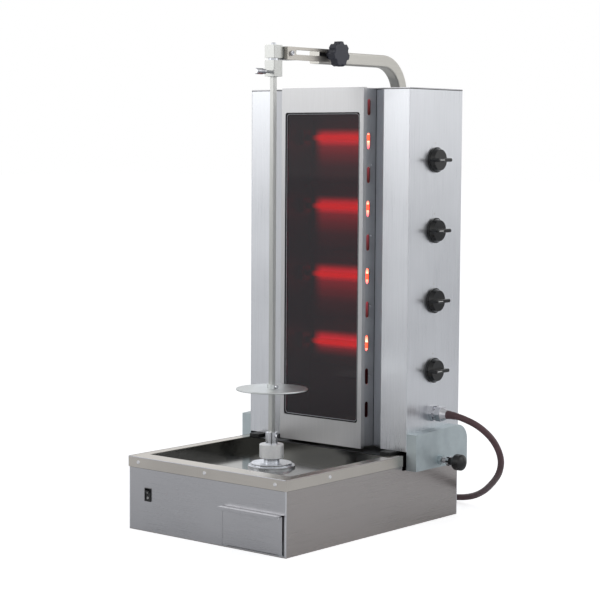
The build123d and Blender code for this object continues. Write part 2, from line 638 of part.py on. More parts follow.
SLOT_PITCH = (HEAD_H - SLOT_FROM_FLOOR - SLOT_FROM_ROOF) / (SLOT_COUNT - 1)
SLOTS_MIDDLE_Z = (HEAD_BOTTOM + SLOT_FROM_FLOOR + HEAD_TOP - SLOT_FROM_ROOF) / 2
SLOTS_Y = FRAME_BACK + 2.0 + SLOT_W / 2
HOUSING_BACK = REFLECTOR_Y + 14.0
with BuildPart() as housing_side_right:
    block(
        (FRAME_HALF - SHEET, FRAME_BACK, HEAD_BOTTOM + SHEET),
        (FRAME_HALF, HOUSING_BACK, HEAD_TOP - ROOF_T),
    )
    with BuildSketch(Plane.YZ.offset(FRAME_HALF)):
        with Locations((SLOTS_Y, SLOTS_MIDDLE_Z)):
            with GridLocations(0, SLOT_PITCH, 1, SLOT_COUNT):
                SlotOverall(SLOT_H, SLOT_W, rotation=90)
    extrude(amount=-SHEET, mode=Mode.SUBTRACT)
nodes["housing_side_right"] = housing_side_right

with BuildPart() as housing_side_left:
    mirror(housing_side_right.part, about=Plane.YZ)
nodes["housing_side_left"] = housing_side_left


# Front frame: a shallow folded surround with the glass opening
OPENING_CORNER = 5.0
OPENING_H = OPENING_TOP - OPENING_BOTTOM
OPENING_Z = (OPENING_TOP + OPENING_BOTTOM) / 2
with BuildPart() as front_frame:
    block((-FRAME_HALF, FRAME_FRONT, FRAME_BOTTOM), (FRAME_HALF, FRAME_BACK, FRAME_TOP))
    block(
        (-FRAME_HALF + SHEET, FRAME_FRONT + SHEET, FRAME_BOTTOM + SHEET),
        (FRAME_HALF - SHEET, FRAME_BACK, FRAME_TOP - SHEET),
        Mode.SUBTRACT,
    )
    with BuildSketch(Plane.XZ.offset(-FRAME_FRONT)):
        with Locations((0, OPENING_Z)):
            RectangleRounded(2 * OPENING_HALF, OPENING_H, OPENING_CORNER)
    extrude(amount=-SHEET, mode=Mode.SUBTRACT)
nodes["front_frame"] = front_frame

GASKET_OUT = 3.0
GASKET_IN = 1.3
with BuildPart() as glass_gasket:
    with BuildSketch(Plane.XZ.offset(-GASKET_Y)):
        with Locations((0, OPENING_Z)):
            RectangleRounded(
                2 * (OPENING_HALF + GASKET_OUT), OPENING_H + 2 * GASKET_OUT, OPENING_CORNER + GASKET_OUT,
            )
            RectangleRounded(
                2 * (OPENING_HALF - GASKET_IN), OPENING_H - 2 * GASKET_IN, OPENING_CORNER - GASKET_IN,
                mode=Mode.SUBTRACT,
            )
    extrude(amount=GASKET_Y - GLASS_Y)
nodes["glass_gasket"] = glass_gasket

with BuildPart() as glass_panel:
    block(
        (-OPENING_HALF - 4.0, GLASS_Y, OPENING_BOTTOM - 4.5),
        (OPENING_HALF + 4.0, GLASS_Y + GLASS_T, OPENING_TOP + 4.5),
    )
nodes["glass_panel"] = glass_panel


# Radiant elements in ceramic holders on the housing sides, with a folded reflector behind
HOLDER_T = 11.0
HOLDER_W = 24.0
HOLDER_H = 30.0
HOLDER_IN = FRAME_HALF - SHEET - HOLDER_T
with BuildPart() as heating_elements:
    for z in HEATER_Z:
        round_x(-HOLDER_IN - 6.0, HOLDER_IN + 6.0, HEATER_Y, z, HEATER_D)
nodes["heating_elements"] = heating_elements

with BuildPart() as element_holders:
    for z in HEATER_Z:
        for side in (-1, 1):
            low, high = sorted((side * HOLDER_IN, side * (FRAME_HALF - SHEET)))
            block(
                (low, HEATER_Y - HOLDER_W / 2, z - HOLDER_H / 2),
                (high, HEATER_Y + HOLDER_W / 2, z + HOLDER_H / 2),
            )
            low, high = sorted((side * HOLDER_IN, side * (HOLDER_IN + 6.0)))
            round_x(low, high, HEATER_Y, z, HEATER_D + 2 * RUNNING, Mode.SUBTRACT)
nodes["element_holders"] = element_holders


TROUGH_DEPTH = 12.0
TROUGH_FLOOR = 20.0
TROUGH_RIM = 48.0


def reflector_line(shift):
    points = [(REFLECTOR_Y + shift, HEAD_BOTTOM + SHEET)]
    for z in HEATER_Z:
        points += [
            (REFLECTOR_Y + shift, z - TROUGH_RIM), (REFLECTOR_Y + TROUGH_DEPTH + shift, z - TROUGH_FLOOR),
            (REFLECTOR_Y + TROUGH_DEPTH + shift, z + TROUGH_FLOOR), (REFLECTOR_Y + shift, z + TROUGH_RIM),
        ]
    points.append((REFLECTOR_Y + shift, HEAD_TOP - ROOF_T))
    return points


with BuildPart() as reflector_plate:
    with BuildSketch(Plane.YZ.offset(-FRAME_HALF + SHEET)):
        with BuildLine():
            Polyline(*reflector_line(0), *reversed(reflector_line(SHEET)), close=True)
        make_face()
    extrude(amount=FRAME_W - 2 * SHEET)
nodes["reflector_plate"] = reflector_plate

COVER_MARGIN = 8.0
COVER_HALF = HEAD_HALF - COVER_MARGIN
COVER_FOOT = HEAD_BOTTOM + 10.0
COVER_HEAD = HEAD_TOP - 10.0
LOUVRE_X = HEAD_HALF / 2 + 10.0
LOUVRE_INSET = 70.0
with BuildPart() as rear_cover:
    block((-COVER_HALF, HEAD_BACK, COVER_FOOT), (COVER_HALF, HEAD_BACK + SHEET, COVER_HEAD))
    with BuildSketch(Plane.XZ.offset(-HEAD_BACK)):
        for z in (COVER_FOOT + LOUVRE_INSET, COVER_HEAD - LOUVRE_INSET):
            with Locations((-LOUVRE_X, z), (LOUVRE_X, z)):
                with GridLocations(0, 14.0, 1, 6):
                    SlotOverall(70.0, 4.0)
    extrude(amount=-SHEET, mode=Mode.SUBTRACT)
nodes["rear_cover"] = rear_cover


# Mast: a bent square tube behind the head, and the two brackets that hold it
TUBE_BORE = TUBE - 2 * TUBE_WALL
CAP_HALF = TUBE / 2 - 1.0
with BuildPart() as mast_tube:
    with BuildLine() as mast_path:
        FilletPolyline((0, MAST_Y, MAST_FOOT), (0, MAST_Y, ARM_Z), (0, TUBE_END, ARM_Z), radius=BEND_R)
    with BuildSketch(Plane(origin=(0, MAST_Y, MAST_FOOT), x_dir=(1, 0, 0), z_dir=(0, 0, 1))):
        RectangleRounded(TUBE, TUBE, TUBE_CORNER)
        RectangleRounded(TUBE_BORE, TUBE_BORE, TUBE_CORNER - TUBE_WALL, mode=Mode.SUBTRACT)
    sweep()
    block((-CAP_HALF, TUBE_END, ARM_Z - CAP_HALF), (CAP_HALF, TUBE_END + TUBE_WALL, ARM_Z + CAP_HALF))
    round_x(0, TUBE, STAR_Y, SLOT_Z, ARM_BOLT_D + 2 * RUNNING, Mode.SUBTRACT)
nodes["mast_tube"] = mast_tube

MAST_HOLD_Z = (MAST_FOOT + 40.0, HEAD_TOP - 60.0)
MAST_HOLD_H = 50.0
MAST_HOLD_HALF = 38.0
MAST_HOLD_T = 3.0
COVER_FACE = HEAD_BACK + SHEET
with BuildPart() as mast_brackets:
    for z in MAST_HOLD_Z:
        z0 = z - MAST_HOLD_H / 2
        z1 = z + MAST_HOLD_H / 2
        block((-MAST_HOLD_HALF, COVER_FACE, z0), (MAST_HOLD_HALF, COVER_FACE + MAST_HOLD_T, z1))
        for side in (-1, 1):
            low, high = sorted((side * TUBE / 2, side * (TUBE / 2 + MAST_HOLD_T)))
            block((low, COVER_FACE, z0), (high, MAST_Y + TUBE / 2, z1))
nodes["mast_brackets"] = mast_brackets


# Zinc side brackets: folded channels on the columns, each with the welded nut of its clamp screw
NUT_RADIUS = 8.5
with BuildPart() as bracket_right:
    with BuildSketch(Plane.YZ.offset(HEAD_HALF)) as bracket_outline:
        with BuildLine():
            Polyline(
                (BRACKET_FRONT, BRACKET_FOOT), (BRACKET_BACK, BRACKET_FOOT),
                (BRACKET_BACK, BRACKET_FOOT + BRACKET_REAR_H),
                (BRACKET_FRONT, BRACKET_FOOT + BRACKET_FRONT_H), close=True,
            )
        make_face()
        rear_top = bracket_outline.vertices().group_by(Axis.Y)[-1].sort_by(Axis.Z)[-1]
        fillet(rear_top, BRACKET_CORNER)
    extrude(amount=BRACKET_T)
    with BuildSketch(Plane.YZ.offset(HEAD_HALF)):
        add(bracket_outline.sketch)
        offset(amount=-BRACKET_WALL, kind=Kind.INTERSECTION)
    extrude(amount=BRACKET_T - BRACKET_WALL, mode=Mode.SUBTRACT)
    with BuildSketch(Plane.YZ.offset(BRACKET_OUT)):
        with Locations((CLAMP_Y, CLAMP_Z)):
            RegularPolygon(NUT_RADIUS, 6, major_radius=False)
    extrude(amount=NUT_T)
    round_x(HEAD_HALF, BRACKET_OUT + NUT_T, CLAMP_Y, CLAMP_Z, CLAMP_SCREW_D + 2 * RUNNING, Mode.SUBTRACT)
nodes["bracket_right"] = bracket_right

with BuildPart() as bracket_left:
    mirror(bracket_right.part, about=Plane.YZ)
nodes["bracket_left"] = bracket_left

KNOB_START = BRACKET_OUT + CLAMP_REACH
KNOB_L = 31.0
with BuildPart() as clamp_knob_right:
    round_x(RAIL_OUT - 2.0 + SLIDE_GAP, KNOB_START, CLAMP_Y, CLAMP_Z, CLAMP_SCREW_D)
    with BuildSketch(Plane(origin=(KNOB_START, CLAMP_Y, CLAMP_Z), x_dir=(1, 0, 0), z_dir=(0, -1, 0))):
        with BuildLine():
            radius = CLAMP_KNOB_D / 2
            Polyline((KNOB_L, 0), (0, 0), (0, 8), (6, 8), (8, radius - 2), (11, radius), (22, radius))
            Spline((22, radius), (28, radius - 4.5), (KNOB_L, 0), tangents=((1, 0), (0, -1)))
        make_face()
    revolve(axis=Axis((0, CLAMP_Y, CLAMP_Z), (1, 0, 0)))
    with BuildSketch(Plane.YZ.offset(KNOB_START - 9)):
        with Locations((CLAMP_Y, CLAMP_Z)):
            RegularPolygon(NUT_RADIUS, 6, major_radius=False)
    extrude(amount=NUT_T - 2)
nodes["clamp_knob_right"] = clamp_knob_right

with BuildPart() as clamp_knob_left:
    mirror(clamp_knob_right.part, about=Plane.YZ)
nodes["clamp_knob_left"] = clamp_knob_left


# Heat regulators inside the right column, and one knob on each shaft
REGULATOR_D = 40.0
REGULATOR_W = 46.0
REGULATOR_H = 50.0
with BuildPart() as heat_regulators:
    for z in KNOB_Z:
        block(
            (HEAD_HALF - SHEET - REGULATOR_D, KNOB_Y - REGULATOR_W / 2, z - REGULATOR_H / 2),
            (HEAD_HALF - SHEET, KNOB_Y + REGULATOR_W / 2, z + REGULATOR_H / 2),
        )
        round_x(HEAD_HALF - SHEET, HEAD_HALF + 11.0, KNOB_Y, z, KNOB_SHAFT_D)
nodes["heat_regulators"] = heat_regulators

KNOB_FACE = HEAD_HALF + SLIDE_GAP
SKIRT_T = 4.0
SHOULDER_T = 9.0
GRIP_T = 8.5


def heat_knob(z):
    with BuildPart() as knob:
        round_x(KNOB_FACE, KNOB_FACE + SKIRT_T, KNOB_Y, z, KNOB_SKIRT_D)
        with BuildSketch(Plane.YZ.offset(KNOB_FACE + SKIRT_T)):
            with Locations((KNOB_Y, z)):
                Circle(KNOB_SKIRT_D / 2 - 1.5)
        extrude(amount=SHOULDER_T, taper=18)
        with BuildSketch(Plane.YZ.offset(KNOB_FACE)):
            with Locations((KNOB_Y, z)):
                SlotOverall(KNOB_SKIRT_D - 3.0, GRIP_T)
        extrude(amount=KNOB_DEPTH, taper=1.5)
        grip_top = knob.faces().sort_by(Axis.X)[-1]
        fillet(grip_top.edges(), 1.6)
        bore_d = KNOB_SHAFT_D + 2 * RUNNING
        round_x(KNOB_FACE, KNOB_FACE + 12.0, KNOB_Y, z, bore_d, Mode.SUBTRACT)
    return knob


for i, z in enumerate(KNOB_Z):
    nodes[f"heat_knob_{i + 1}"] = heat_knob(z)

TERMINAL_W = 40.0
TERMINAL_L = 60.0
TERMINAL_X = (FRAME_HALF + HEAD_HALF - TERMINAL_W) / 2 - 1.0
with BuildPart() as terminal_block:
    block(
        (TERMINAL_X, GLAND_Y - TERMINAL_L / 2, HEAD_BOTTOM + SHEET),
        (TERMINAL_X + TERMINAL_W, GLAND_Y + TERMINAL_L / 2, HEAD_BOTTOM + SHEET + 26.0),
    )
nodes["terminal_block"] = terminal_block


# Cable gland: locknut, body and dome nut
LOCKNUT_T = 8.0
NECK_END = HEAD_HALF + LOCKNUT_T + 5.0
DOME_START = NECK_END + 12.0
with BuildPart() as cable_gland:
    round_x(HEAD_HALF - 10.0, HEAD_HALF, GLAND_Y, GLAND_Z, 20.0)
    with BuildSketch(Plane.YZ.offset(HEAD_HALF)):
        with Locations((GLAND_Y, GLAND_Z)):
            RegularPolygon(15.0, 6, major_radius=False)
    extrude(amount=LOCKNUT_T)
    round_x(HEAD_HALF + LOCKNUT_T, NECK_END, GLAND_Y, GLAND_Z, 24.0)
    with BuildSketch(Plane.YZ.offset(NECK_END)):
        with Locations((GLAND_Y, GLAND_Z)):
            RegularPolygon(14.0, 6, major_radius=False)
    extrude(amount=DOME_START - NECK_END)
    with BuildSketch(Plane.YZ.offset(DOME_START)):
        with Locations((GLAND_Y, GLAND_Z)):
            Circle(13.5)
    extrude(amount=GLAND_OUT - DOME_START, taper=26)
nodes["cable_gland"] = cable_gland


# Mains cable: out of the gland, round behind the base and along the floor to its coil
COIL_ENTRY_X = COIL_X + 50.0
FLOOR_Z = CABLE_D / 2
ENTRY_Y = COIL_Y - COIL_OUTER_R + CABLE_D / 2
CABLE_ROUTE = [
    (GLAND_OUT, GLAND_Y, GLAND_Z),
    (GLAND_OUT + 13, GLAND_Y, GLAND_Z),
    (274, 180, 215),
    (308, 189, 201),
    (332, 206, 173),
    (336, 227, 136),
    (320, 246, 103),
    (274, 290, 70),
    (213, 345, 35),
    (164, 368, 15),
    (112, 373, 8),
    (50, ENTRY_Y, FLOOR_Z),
    (COIL_ENTRY_X, ENTRY_Y, FLOOR_Z),
]


def corner_radii(points):
    radii = []
    for before, at, after in zip(points, points[1:], points[2:]):
        run_in = Vector(*at) - Vector(*before)
        run_out = Vector(*after) - Vector(*at)
        half_turn = radians(run_in.get_angle(run_out)) / 2
        radii.append(0.45 * min(run_in.length, run_out.length) / tan(half_turn))
    return radii


cable_radii = corner_radii(CABLE_ROUTE)
with BuildPart() as mains_cable:
    with BuildLine() as cable_path:
        FilletPolyline(*CABLE_ROUTE, radius=cable_radii)
    with BuildSketch(Plane(origin=CABLE_ROUTE[0], z_dir=(1, 0, 0))):
        Circle(CABLE_D / 2)
    sweep()
nodes["mains_cable"] = mains_cable

PLUG_END_X = COIL_X - 95.0
PLUG_Y = COIL_Y - COIL_OUTER_R + CABLE_D
PLUG_R = 26.0
PLUG_FACE = 88.0
PIN_CIRCLE_R = 11.0
CONTACT_L = 32.0
COIL_H = 2 * CABLE_D
with BuildPart() as cable_coil:
    round_z(COIL_X, COIL_Y, 0, COIL_H, 2 * COIL_OUTER_R)
    round_z(COIL_X, COIL_Y, 0, COIL_H, 2 * COIL_INNER_R, Mode.SUBTRACT)
    block((COIL_X, ENTRY_Y - FLOOR_Z, 0), (COIL_ENTRY_X, ENTRY_Y + FLOOR_Z, CABLE_D))
    block((PLUG_END_X, PLUG_Y - FLOOR_Z, CABLE_D), (COIL_X - 40.0, PLUG_Y + FLOOR_Z, 32.0))
nodes["cable_coil"] = cable_coil

plug_face_plane = Plane(
    origin=(PLUG_END_X - PLUG_FACE, PLUG_Y, PLUG_R), x_dir=(0, 1, 0), z_dir=(-1, 0, 0),
)
with BuildPart() as mains_plug:
    with BuildSketch(Plane(origin=(PLUG_END_X, PLUG_Y, PLUG_R), x_dir=(-1, 0, 0), z_dir=(0, 1, 0))):
        with BuildLine():
            Polyline(
                (0, 0), (0, 10), (16, 12.5), (18, 16), (34, 17.5), (40, 23), (84, 23), (84, 26),
                (96, 26), (96, 22), (124, 22), (124, 19), (PLUG_FACE, 19), (PLUG_FACE, 0), close=True,
            )
        make_face()
    revolve(axis=Axis((PLUG_END_X, PLUG_Y, PLUG_R), (1, 0, 0)))
    with BuildSketch(plug_face_plane):
        with PolarLocations(PIN_CIRCLE_R, 5, start_angle=90):
            Circle(2.5)
    extrude(amount=CONTACT_L)
nodes["mains_plug"] = mains_plug


# Arm end: slotted bar beside the tube, and the bearing block that holds the spindle's pin
SLOT_H_ARM = ARM_BOLT_D + 2 * SLOT_GAP
EXT_LOW = ARM_Z + EXT_RAISE - TUBE / 2
with BuildPart() as extension_bar:
    block((EXT_X, EXT_FRONT, EXT_LOW), (EXT_X + EXT_T, EXT_BACK, EXT_LOW + TUBE))
    with BuildSketch(Plane.YZ.offset(EXT_X)):
        with Locations(((SLOT_FRONT + SLOT_BACK) / 2, SLOT_Z)):
            SlotOverall(SLOT_BACK - SLOT_FRONT, SLOT_H_ARM)
    extrude(amount=EXT_T, mode=Mode.SUBTRACT)
nodes["extension_bar"] = extension_bar

END_BLOCK_L = 36.0
with BuildPart() as bearing_block:
    square_z(0, SPINDLE_Y, CUBE_BOTTOM, CUBE_TOP, CUBE)
    chamfer(bearing_block.edges().filter_by(Axis.Z), 0.8)
    block((-9.0, SPINDLE_Y + CUBE / 2 - 1.0, EXT_LOW + 4.0), (9.0, EXT_FRONT + 1.0, EXT_LOW + TUBE - 4.0))
    block((-EXT_X, EXT_FRONT, EXT_LOW), (EXT_X, EXT_FRONT + END_BLOCK_L, EXT_LOW + TUBE))
    round_z(0, SPINDLE_Y, CUBE_BOTTOM, CUBE_TOP, PIN_D + 2 * RUNNING, Mode.SUBTRACT)
nodes["bearing_block"] = bearing_block

STAR_NOTCHES = 7
STAR_NOTCH_R = 7.0
with BuildPart() as star_knob:
    round_x(TUBE / 2 - TUBE_WALL - 3.0, STAR_X, STAR_Y, SLOT_Z, ARM_BOLT_D)
    round_x(STAR_X, STAR_X + STAR_BOSS, STAR_Y, SLOT_Z, 22.0)
    with BuildSketch(Plane.YZ.offset(STAR_X + STAR_BOSS)):
        with Locations((STAR_Y, SLOT_Z)):
            Circle(STAR_D / 2)
            with PolarLocations(STAR_D / 2 + 3.2, STAR_NOTCHES, start_angle=90 + 180 / STAR_NOTCHES):
                Circle(STAR_NOTCH_R, mode=Mode.SUBTRACT)
    extrude(amount=STAR_T)
    star_face = star_knob.faces().sort_by(Axis.X)[-1]
    fillet(star_face.edges(), 2.5)
nodes["star_knob"] = star_knob

print("cable corner radii:", [round(r) for r in cable_radii])
tube_volume = pi * (CABLE_D / 2) ** 2 * cable_path.wire().length
print("cable tube volume against section times length:", round(mains_cable.part.volume / tube_volume, 4))

for name, node in nodes.items():
    node.part.label = name
    export_step(node.part, f"parts/{name}.step")
print(len(nodes), "nodes")
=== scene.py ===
# %% [markdown]
# # An upright doner kebab grill
# The machine stands on a counter: a steel base with a sunk tray, a tall heater head with a glass front,
# and a square spindle that turns the meat. Its sheet-metal shapes come ready from the CAD model, which
# is loaded here as a fixed frame. This notebook gives it its finishes, its cable and its small fittings.

import bmesh
import bpy
from math import atan2, cos, pi, radians, sin
from mathutils import Matrix, Vector


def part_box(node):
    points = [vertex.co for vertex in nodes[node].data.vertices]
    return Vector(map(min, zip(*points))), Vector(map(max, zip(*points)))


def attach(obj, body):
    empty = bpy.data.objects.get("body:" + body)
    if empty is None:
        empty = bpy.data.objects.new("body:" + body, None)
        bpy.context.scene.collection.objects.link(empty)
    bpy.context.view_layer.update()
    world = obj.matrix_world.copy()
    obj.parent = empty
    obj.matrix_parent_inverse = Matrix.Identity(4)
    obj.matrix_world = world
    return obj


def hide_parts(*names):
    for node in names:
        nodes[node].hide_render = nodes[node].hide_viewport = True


MM = 0.001
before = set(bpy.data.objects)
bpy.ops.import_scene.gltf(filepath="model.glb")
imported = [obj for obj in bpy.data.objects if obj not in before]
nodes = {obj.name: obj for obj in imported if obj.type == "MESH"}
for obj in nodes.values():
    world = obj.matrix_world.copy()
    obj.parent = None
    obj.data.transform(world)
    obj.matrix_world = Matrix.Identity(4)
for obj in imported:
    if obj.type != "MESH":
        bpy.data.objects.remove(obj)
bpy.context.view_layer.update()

# %% [markdown]
# ## Camera
# The photograph was taken from the right front, a little above the middle of the machine, with a long
# lens. The camera's place, its three angles and its lens are fitted to corners in the picture. The roll
# is tiny, but it moves the top of the arm by several pixels, so it is kept.

# %% Place the camera
CAMERA_PLACE = Vector((2.2927, -2.7472, 0.7492))
CAMERA_AZIMUTH = radians(39.784)
CAMERA_PITCH = radians(-4.886)
CAMERA_ROLL = radians(0.36)
LENS_MM = 108.85

camera = bpy.data.objects.new("camera", bpy.data.cameras.new("camera"))
bpy.context.scene.collection.objects.link(camera)
camera.data.sensor_width = 36
camera.data.lens = LENS_MM
camera.data.clip_end = 50
camera.location = CAMERA_PLACE
turn = Matrix.Rotation(CAMERA_AZIMUTH, 4, "Z") @ Matrix.Rotation(pi / 2 + CAMERA_PITCH, 4, "X")
camera.rotation_euler = (turn @ Matrix.Rotation(CAMERA_ROLL, 4, "Z")).to_euler()
bpy.context.scene.camera = camera
print("lens", LENS_MM, "mm from", round(CAMERA_PLACE.length, 2), "m")

# %% [markdown]
# ## Small tools
# Bpy operators act on whatever is selected, and loading the frame leaves its pieces selected. So each
# piece starts from an empty selection. A finished piece has its place in its mesh: its modifiers and
# its transform are applied, and its object stays at the origin.


# %% Helpers for modelling
def deselect():
    if bpy.context.object and bpy.context.object.mode != "OBJECT":
        bpy.ops.object.mode_set(mode="OBJECT")
    bpy.ops.object.select_all(action="DESELECT")


def select_faces(piece, test):
    """Enter edit mode with just the faces whose centre and normal pass the test."""
    bpy.ops.object.mode_set(mode="EDIT")
    bpy.ops.mesh.select_mode(type="FACE")
    mesh = bmesh.from_edit_mesh(piece.data)
    for face in mesh.faces:
        face.select_set(bool(test(face.calc_center_median(), face.normal)))
    mesh.select_flush_mode()
    bmesh.update_edit_mesh(piece.data)


def bevel(piece, width, segments=2):
    rounding = piece.modifiers.new("rounded_edges", "BEVEL")
    rounding.width = width
    rounding.segments = segments
    rounding.angle_limit = radians(35)
    bpy.context.view_layer.objects.active = piece
    bpy.ops.object.modifier_apply(modifier=rounding.name)


def complete(piece, name, body, material, place):
    """Put a piece made at the origin in its place, with its finish, on the body that carries it."""
    bpy.ops.object.mode_set(mode="OBJECT")
    piece.name = name
    piece.data.name = name
    piece.data.transform(piece.matrix_basis)
    piece.matrix_basis = Matrix.Identity(4)
    piece.data.transform(place)
    bpy.ops.object.shade_smooth_by_angle(angle=radians(35))
    piece.data.materials.clear()
    piece.data.materials.append(material)
    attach(piece, body)
    return piece


def copy_piece(piece, name, body, place):
    twin = piece.copy()
    twin.data = piece.data.copy()
    twin.name = name
    bpy.context.scene.collection.objects.link(twin)
    twin.data.transform(place)
    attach(twin, body)
    return twin


def facing(spot, direction, spin=0.0):
    """A matrix that stands a piece made along +Z at a spot, so that it points in a direction."""
    turn_to = Vector(direction).to_track_quat("Z", "Y").to_matrix().to_4x4()
    return Matrix.Translation(Vector(spot)) @ turn_to @ Matrix.Rotation(spin, 4, "Z")


# %% [markdown]
# ## Mains cable
# A heater of this size has a thick round cable with a heat-resistant rubber sheath. It is about 2 m
# long. The photograph shows its first hand's breadth, where it leaves the gland and sags. The rest
# runs down behind the base and lies on the counter in a flat coil, whose turns start at the outside,
# wind in, and come back out over the top to the plug. One smooth NURBS curve follows it all.

# %% Draw the cable
CABLE_D = 13 * MM
GLAND_MOUTH = (239.0, 178.0, 218.4)
COIL_CENTRE = (-60.0, 452.0)
OUTER_TURN = 78.5
TURN_STEP = 13.0
POINTS_PER_TURN = 16
FLOOR_TURNS = 2.0
TOP_LAYER_Z = 19.5
WAY_OUT = 19.5
CLIMB_TURNS = 0.3
COIL_TURNS = 3

route = [
    GLAND_MOUTH, (252, 178, 218.4), (274, 180, 215), (308, 189, 201), (332, 206, 173), (336, 227, 136),
    (320, 246, 103), (274, 290, 70), (213, 345, 35), (164, 368, 15), (112, 373, 8), (50, 373.5, 6.5),
    (-10, 373.5, 6.5),
]


def coil_point(turns):
    """A control point of the flat coil: in over the floor, then out again on top of those turns."""
    radius = OUTER_TURN - TURN_STEP * turns
    height = CABLE_D / MM / 2
    if turns > FLOOR_TURNS:
        climb = min(1.0, (turns - FLOOR_TURNS) / CLIMB_TURNS)
        radius = OUTER_TURN - TURN_STEP * FLOOR_TURNS + WAY_OUT * (turns - FLOOR_TURNS)
        height += (TOP_LAYER_Z - CABLE_D / MM / 2) * climb
    radius /= cos(pi / POINTS_PER_TURN) ** 0.5
    angle = -pi / 2 - 2 * pi * turns
    return (COIL_CENTRE[0] + radius * cos(angle), COIL_CENTRE[1] + radius * sin(angle), height)


route += [coil_point(step / POINTS_PER_TURN) for step in range(1, POINTS_PER_TURN * COIL_TURNS + 1)]
route += [(-88, 380, 20), (-125, 380, 25), (-150, 380, 26), (-156, 380, 26)]


def smooth_curve(name, points, thickness):
    line = bpy.data.curves.new(name, "CURVE")
    line.dimensions = "3D"
    spline = line.splines.new("NURBS")
    spline.points.add(len(points) - 1)
    for control, spot in zip(spline.points, points):
        control.co = (spot[0] * MM, spot[1] * MM, spot[2] * MM, 1)
    spline.order_u = 3
    spline.use_endpoint_u = True
    spline.resolution_u = 8
    line.bevel_depth = thickness / 2
    line.bevel_resolution = 6
    line.use_fill_caps = True
    curve = bpy.data.objects.new(name, line)
    bpy.context.scene.collection.objects.link(curve)
    return curve


def line_points(points):
    bare = smooth_curve("bare_line", points, 0)
    bpy.context.view_layer.update()
    mesh = bpy.data.meshes.new_from_object(bare)
    spots = [v.co.copy() for v in mesh.vertices]
    bpy.data.objects.remove(bare)
    return spots


cable = smooth_curve("flexible_cable", route, CABLE_D)
cable_line = line_points(route)

# %% [markdown]
# The sheath is held by a short rubber sleeve where it leaves the gland. It tapers, so that the cable
# bends gently there. It follows the cable's own line, with a radius at each point.

# %% Taper the sleeve at the gland
SLEEVE_L = 26 * MM
SLEEVE_R = 8.6 * MM
SLEEVE_SIDES = 32

sleeve_spots = [cable_line[0]]
for spot in cable_line[1:]:
    if (spot - cable_line[0]).length < SLEEVE_L:
        sleeve_spots.append(spot)
sleeve_mesh = bmesh.new()
rings = []
for i, spot in enumerate(sleeve_spots):
    ahead = sleeve_spots[min(i + 1, len(sleeve_spots) - 1)]
    behind = sleeve_spots[max(i - 1, 0)]
    side_turn = (ahead - behind).to_track_quat("Z", "Y").to_matrix().to_4x4()
    way = i / (len(sleeve_spots) - 1)
    radius = SLEEVE_R + (CABLE_D / 2 + 0.3 * MM - SLEEVE_R) * way
    if i % 4 == 3:
        radius -= 0.5 * MM
    ring = bmesh.ops.create_circle(sleeve_mesh, segments=SLEEVE_SIDES, radius=radius)["verts"]
    bmesh.ops.transform(sleeve_mesh, matrix=Matrix.Translation(spot) @ side_turn, verts=ring)
    rings.append(ring)
for near, far in zip(rings, rings[1:]):
    for k in range(SLEEVE_SIDES):
        after = (k + 1) % SLEEVE_SIDES
        sleeve_mesh.faces.new((near[k], near[after], far[after], far[k]))
sleeve_mesh.faces.new(list(reversed(rings[0])))
sleeve_mesh.faces.new(rings[-1])
bmesh.ops.recalc_face_normals(sleeve_mesh, faces=sleeve_mesh.faces)
sleeve_data = bpy.data.meshes.new("cable_sleeve")
sleeve_mesh.to_mesh(sleeve_data)
sleeve = bpy.data.objects.new("cable_sleeve", sleeve_data)
bpy.context.scene.collection.objects.link(sleeve)
print("sleeve rings:", len(rings))

# %% [markdown]
# ## Materials
# A finish starts from what the real one is. Each is built from nodes that read Object coordinates, so
# that its pattern has a real size in millimetres and stays on its piece. One function adds a node with
# its settings and links, and another turns a given screen colour into the linear one Blender needs.
# Short ones do a sum, map a range and add a noise.


# %% Helpers for materials
def linear(hex_colour):
    channels = [int(hex_colour[i : i + 2], 16) / 255 for i in (1, 3, 5)]
    turned = [c / 12.92 if c <= 0.04045 else ((c + 0.055) / 1.055) ** 2.4 for c in channels]
    return (*turned, 1.0)


def add_node(tree, kind, settings=None, **links):
    """Add a node. Settings are its attributes or input values by name, and links are sockets by name."""
    node = tree.nodes.new(kind)
    for key, value in (settings or {}).items():
        if hasattr(node, key):
            setattr(node, key, value)
        else:
            node.inputs[key].default_value = value
    for key, source in links.items():
        tree.links.new(source, node.inputs[key.replace("_", " ")])
    return node


def new_material(name, **shader):
    material = bpy.data.materials.new(name)
    material.use_nodes = True
    surface = material.node_tree.nodes["Principled BSDF"]
    for key, value in shader.items():
        surface.inputs[key.replace("_", " ")].default_value = value
    return material, material.node_tree, surface


def maths(tree, operation, *values):
    """One step of arithmetic on sockets or plain numbers."""
    node = add_node(tree, "ShaderNodeMath", {"operation": operation})
    for socket, value in zip(node.inputs, values):
        if isinstance(value, bpy.types.NodeSocket):
            tree.links.new(value, socket)
        else:
            socket.default_value = value
    return node.outputs["Value"]


def ranged(tree, value, low, high, to_low=0.0, to_high=1.0, way="LINEAR"):
    """Map a value from one range to another, and hold it at both ends."""
    limits = {"From Min": low, "From Max": high, "To Min": to_low, "To Max": to_high}
    limits["interpolation_type"] = way
    return add_node(tree, "ShaderNodeMapRange", limits, Value=value).outputs["Result"]


def noise(tree, where, scale, detail, roughness=0.5):
    settings = {"Scale": scale, "Detail": detail, "Roughness": roughness}
    return add_node(tree, "ShaderNodeTexNoise", settings, Vector=where).outputs["Fac"]


def tint(material, colour, finish_share):
    """Mix a colour into a finish, which stays as it was where its share is 1."""
    tree = material.node_tree
    base = tree.nodes["Principled BSDF"].inputs["Base Color"]
    fresh = base.links[0].from_socket
    mixed = add_node(tree, "ShaderNodeMix", {"data_type": "RGBA"}, Factor=finish_share)
    mixed.inputs["A"].default_value = linear(colour)
    tree.links.new(fresh, mixed.inputs["B"])
    tree.links.new(mixed.outputs["Result"], base)


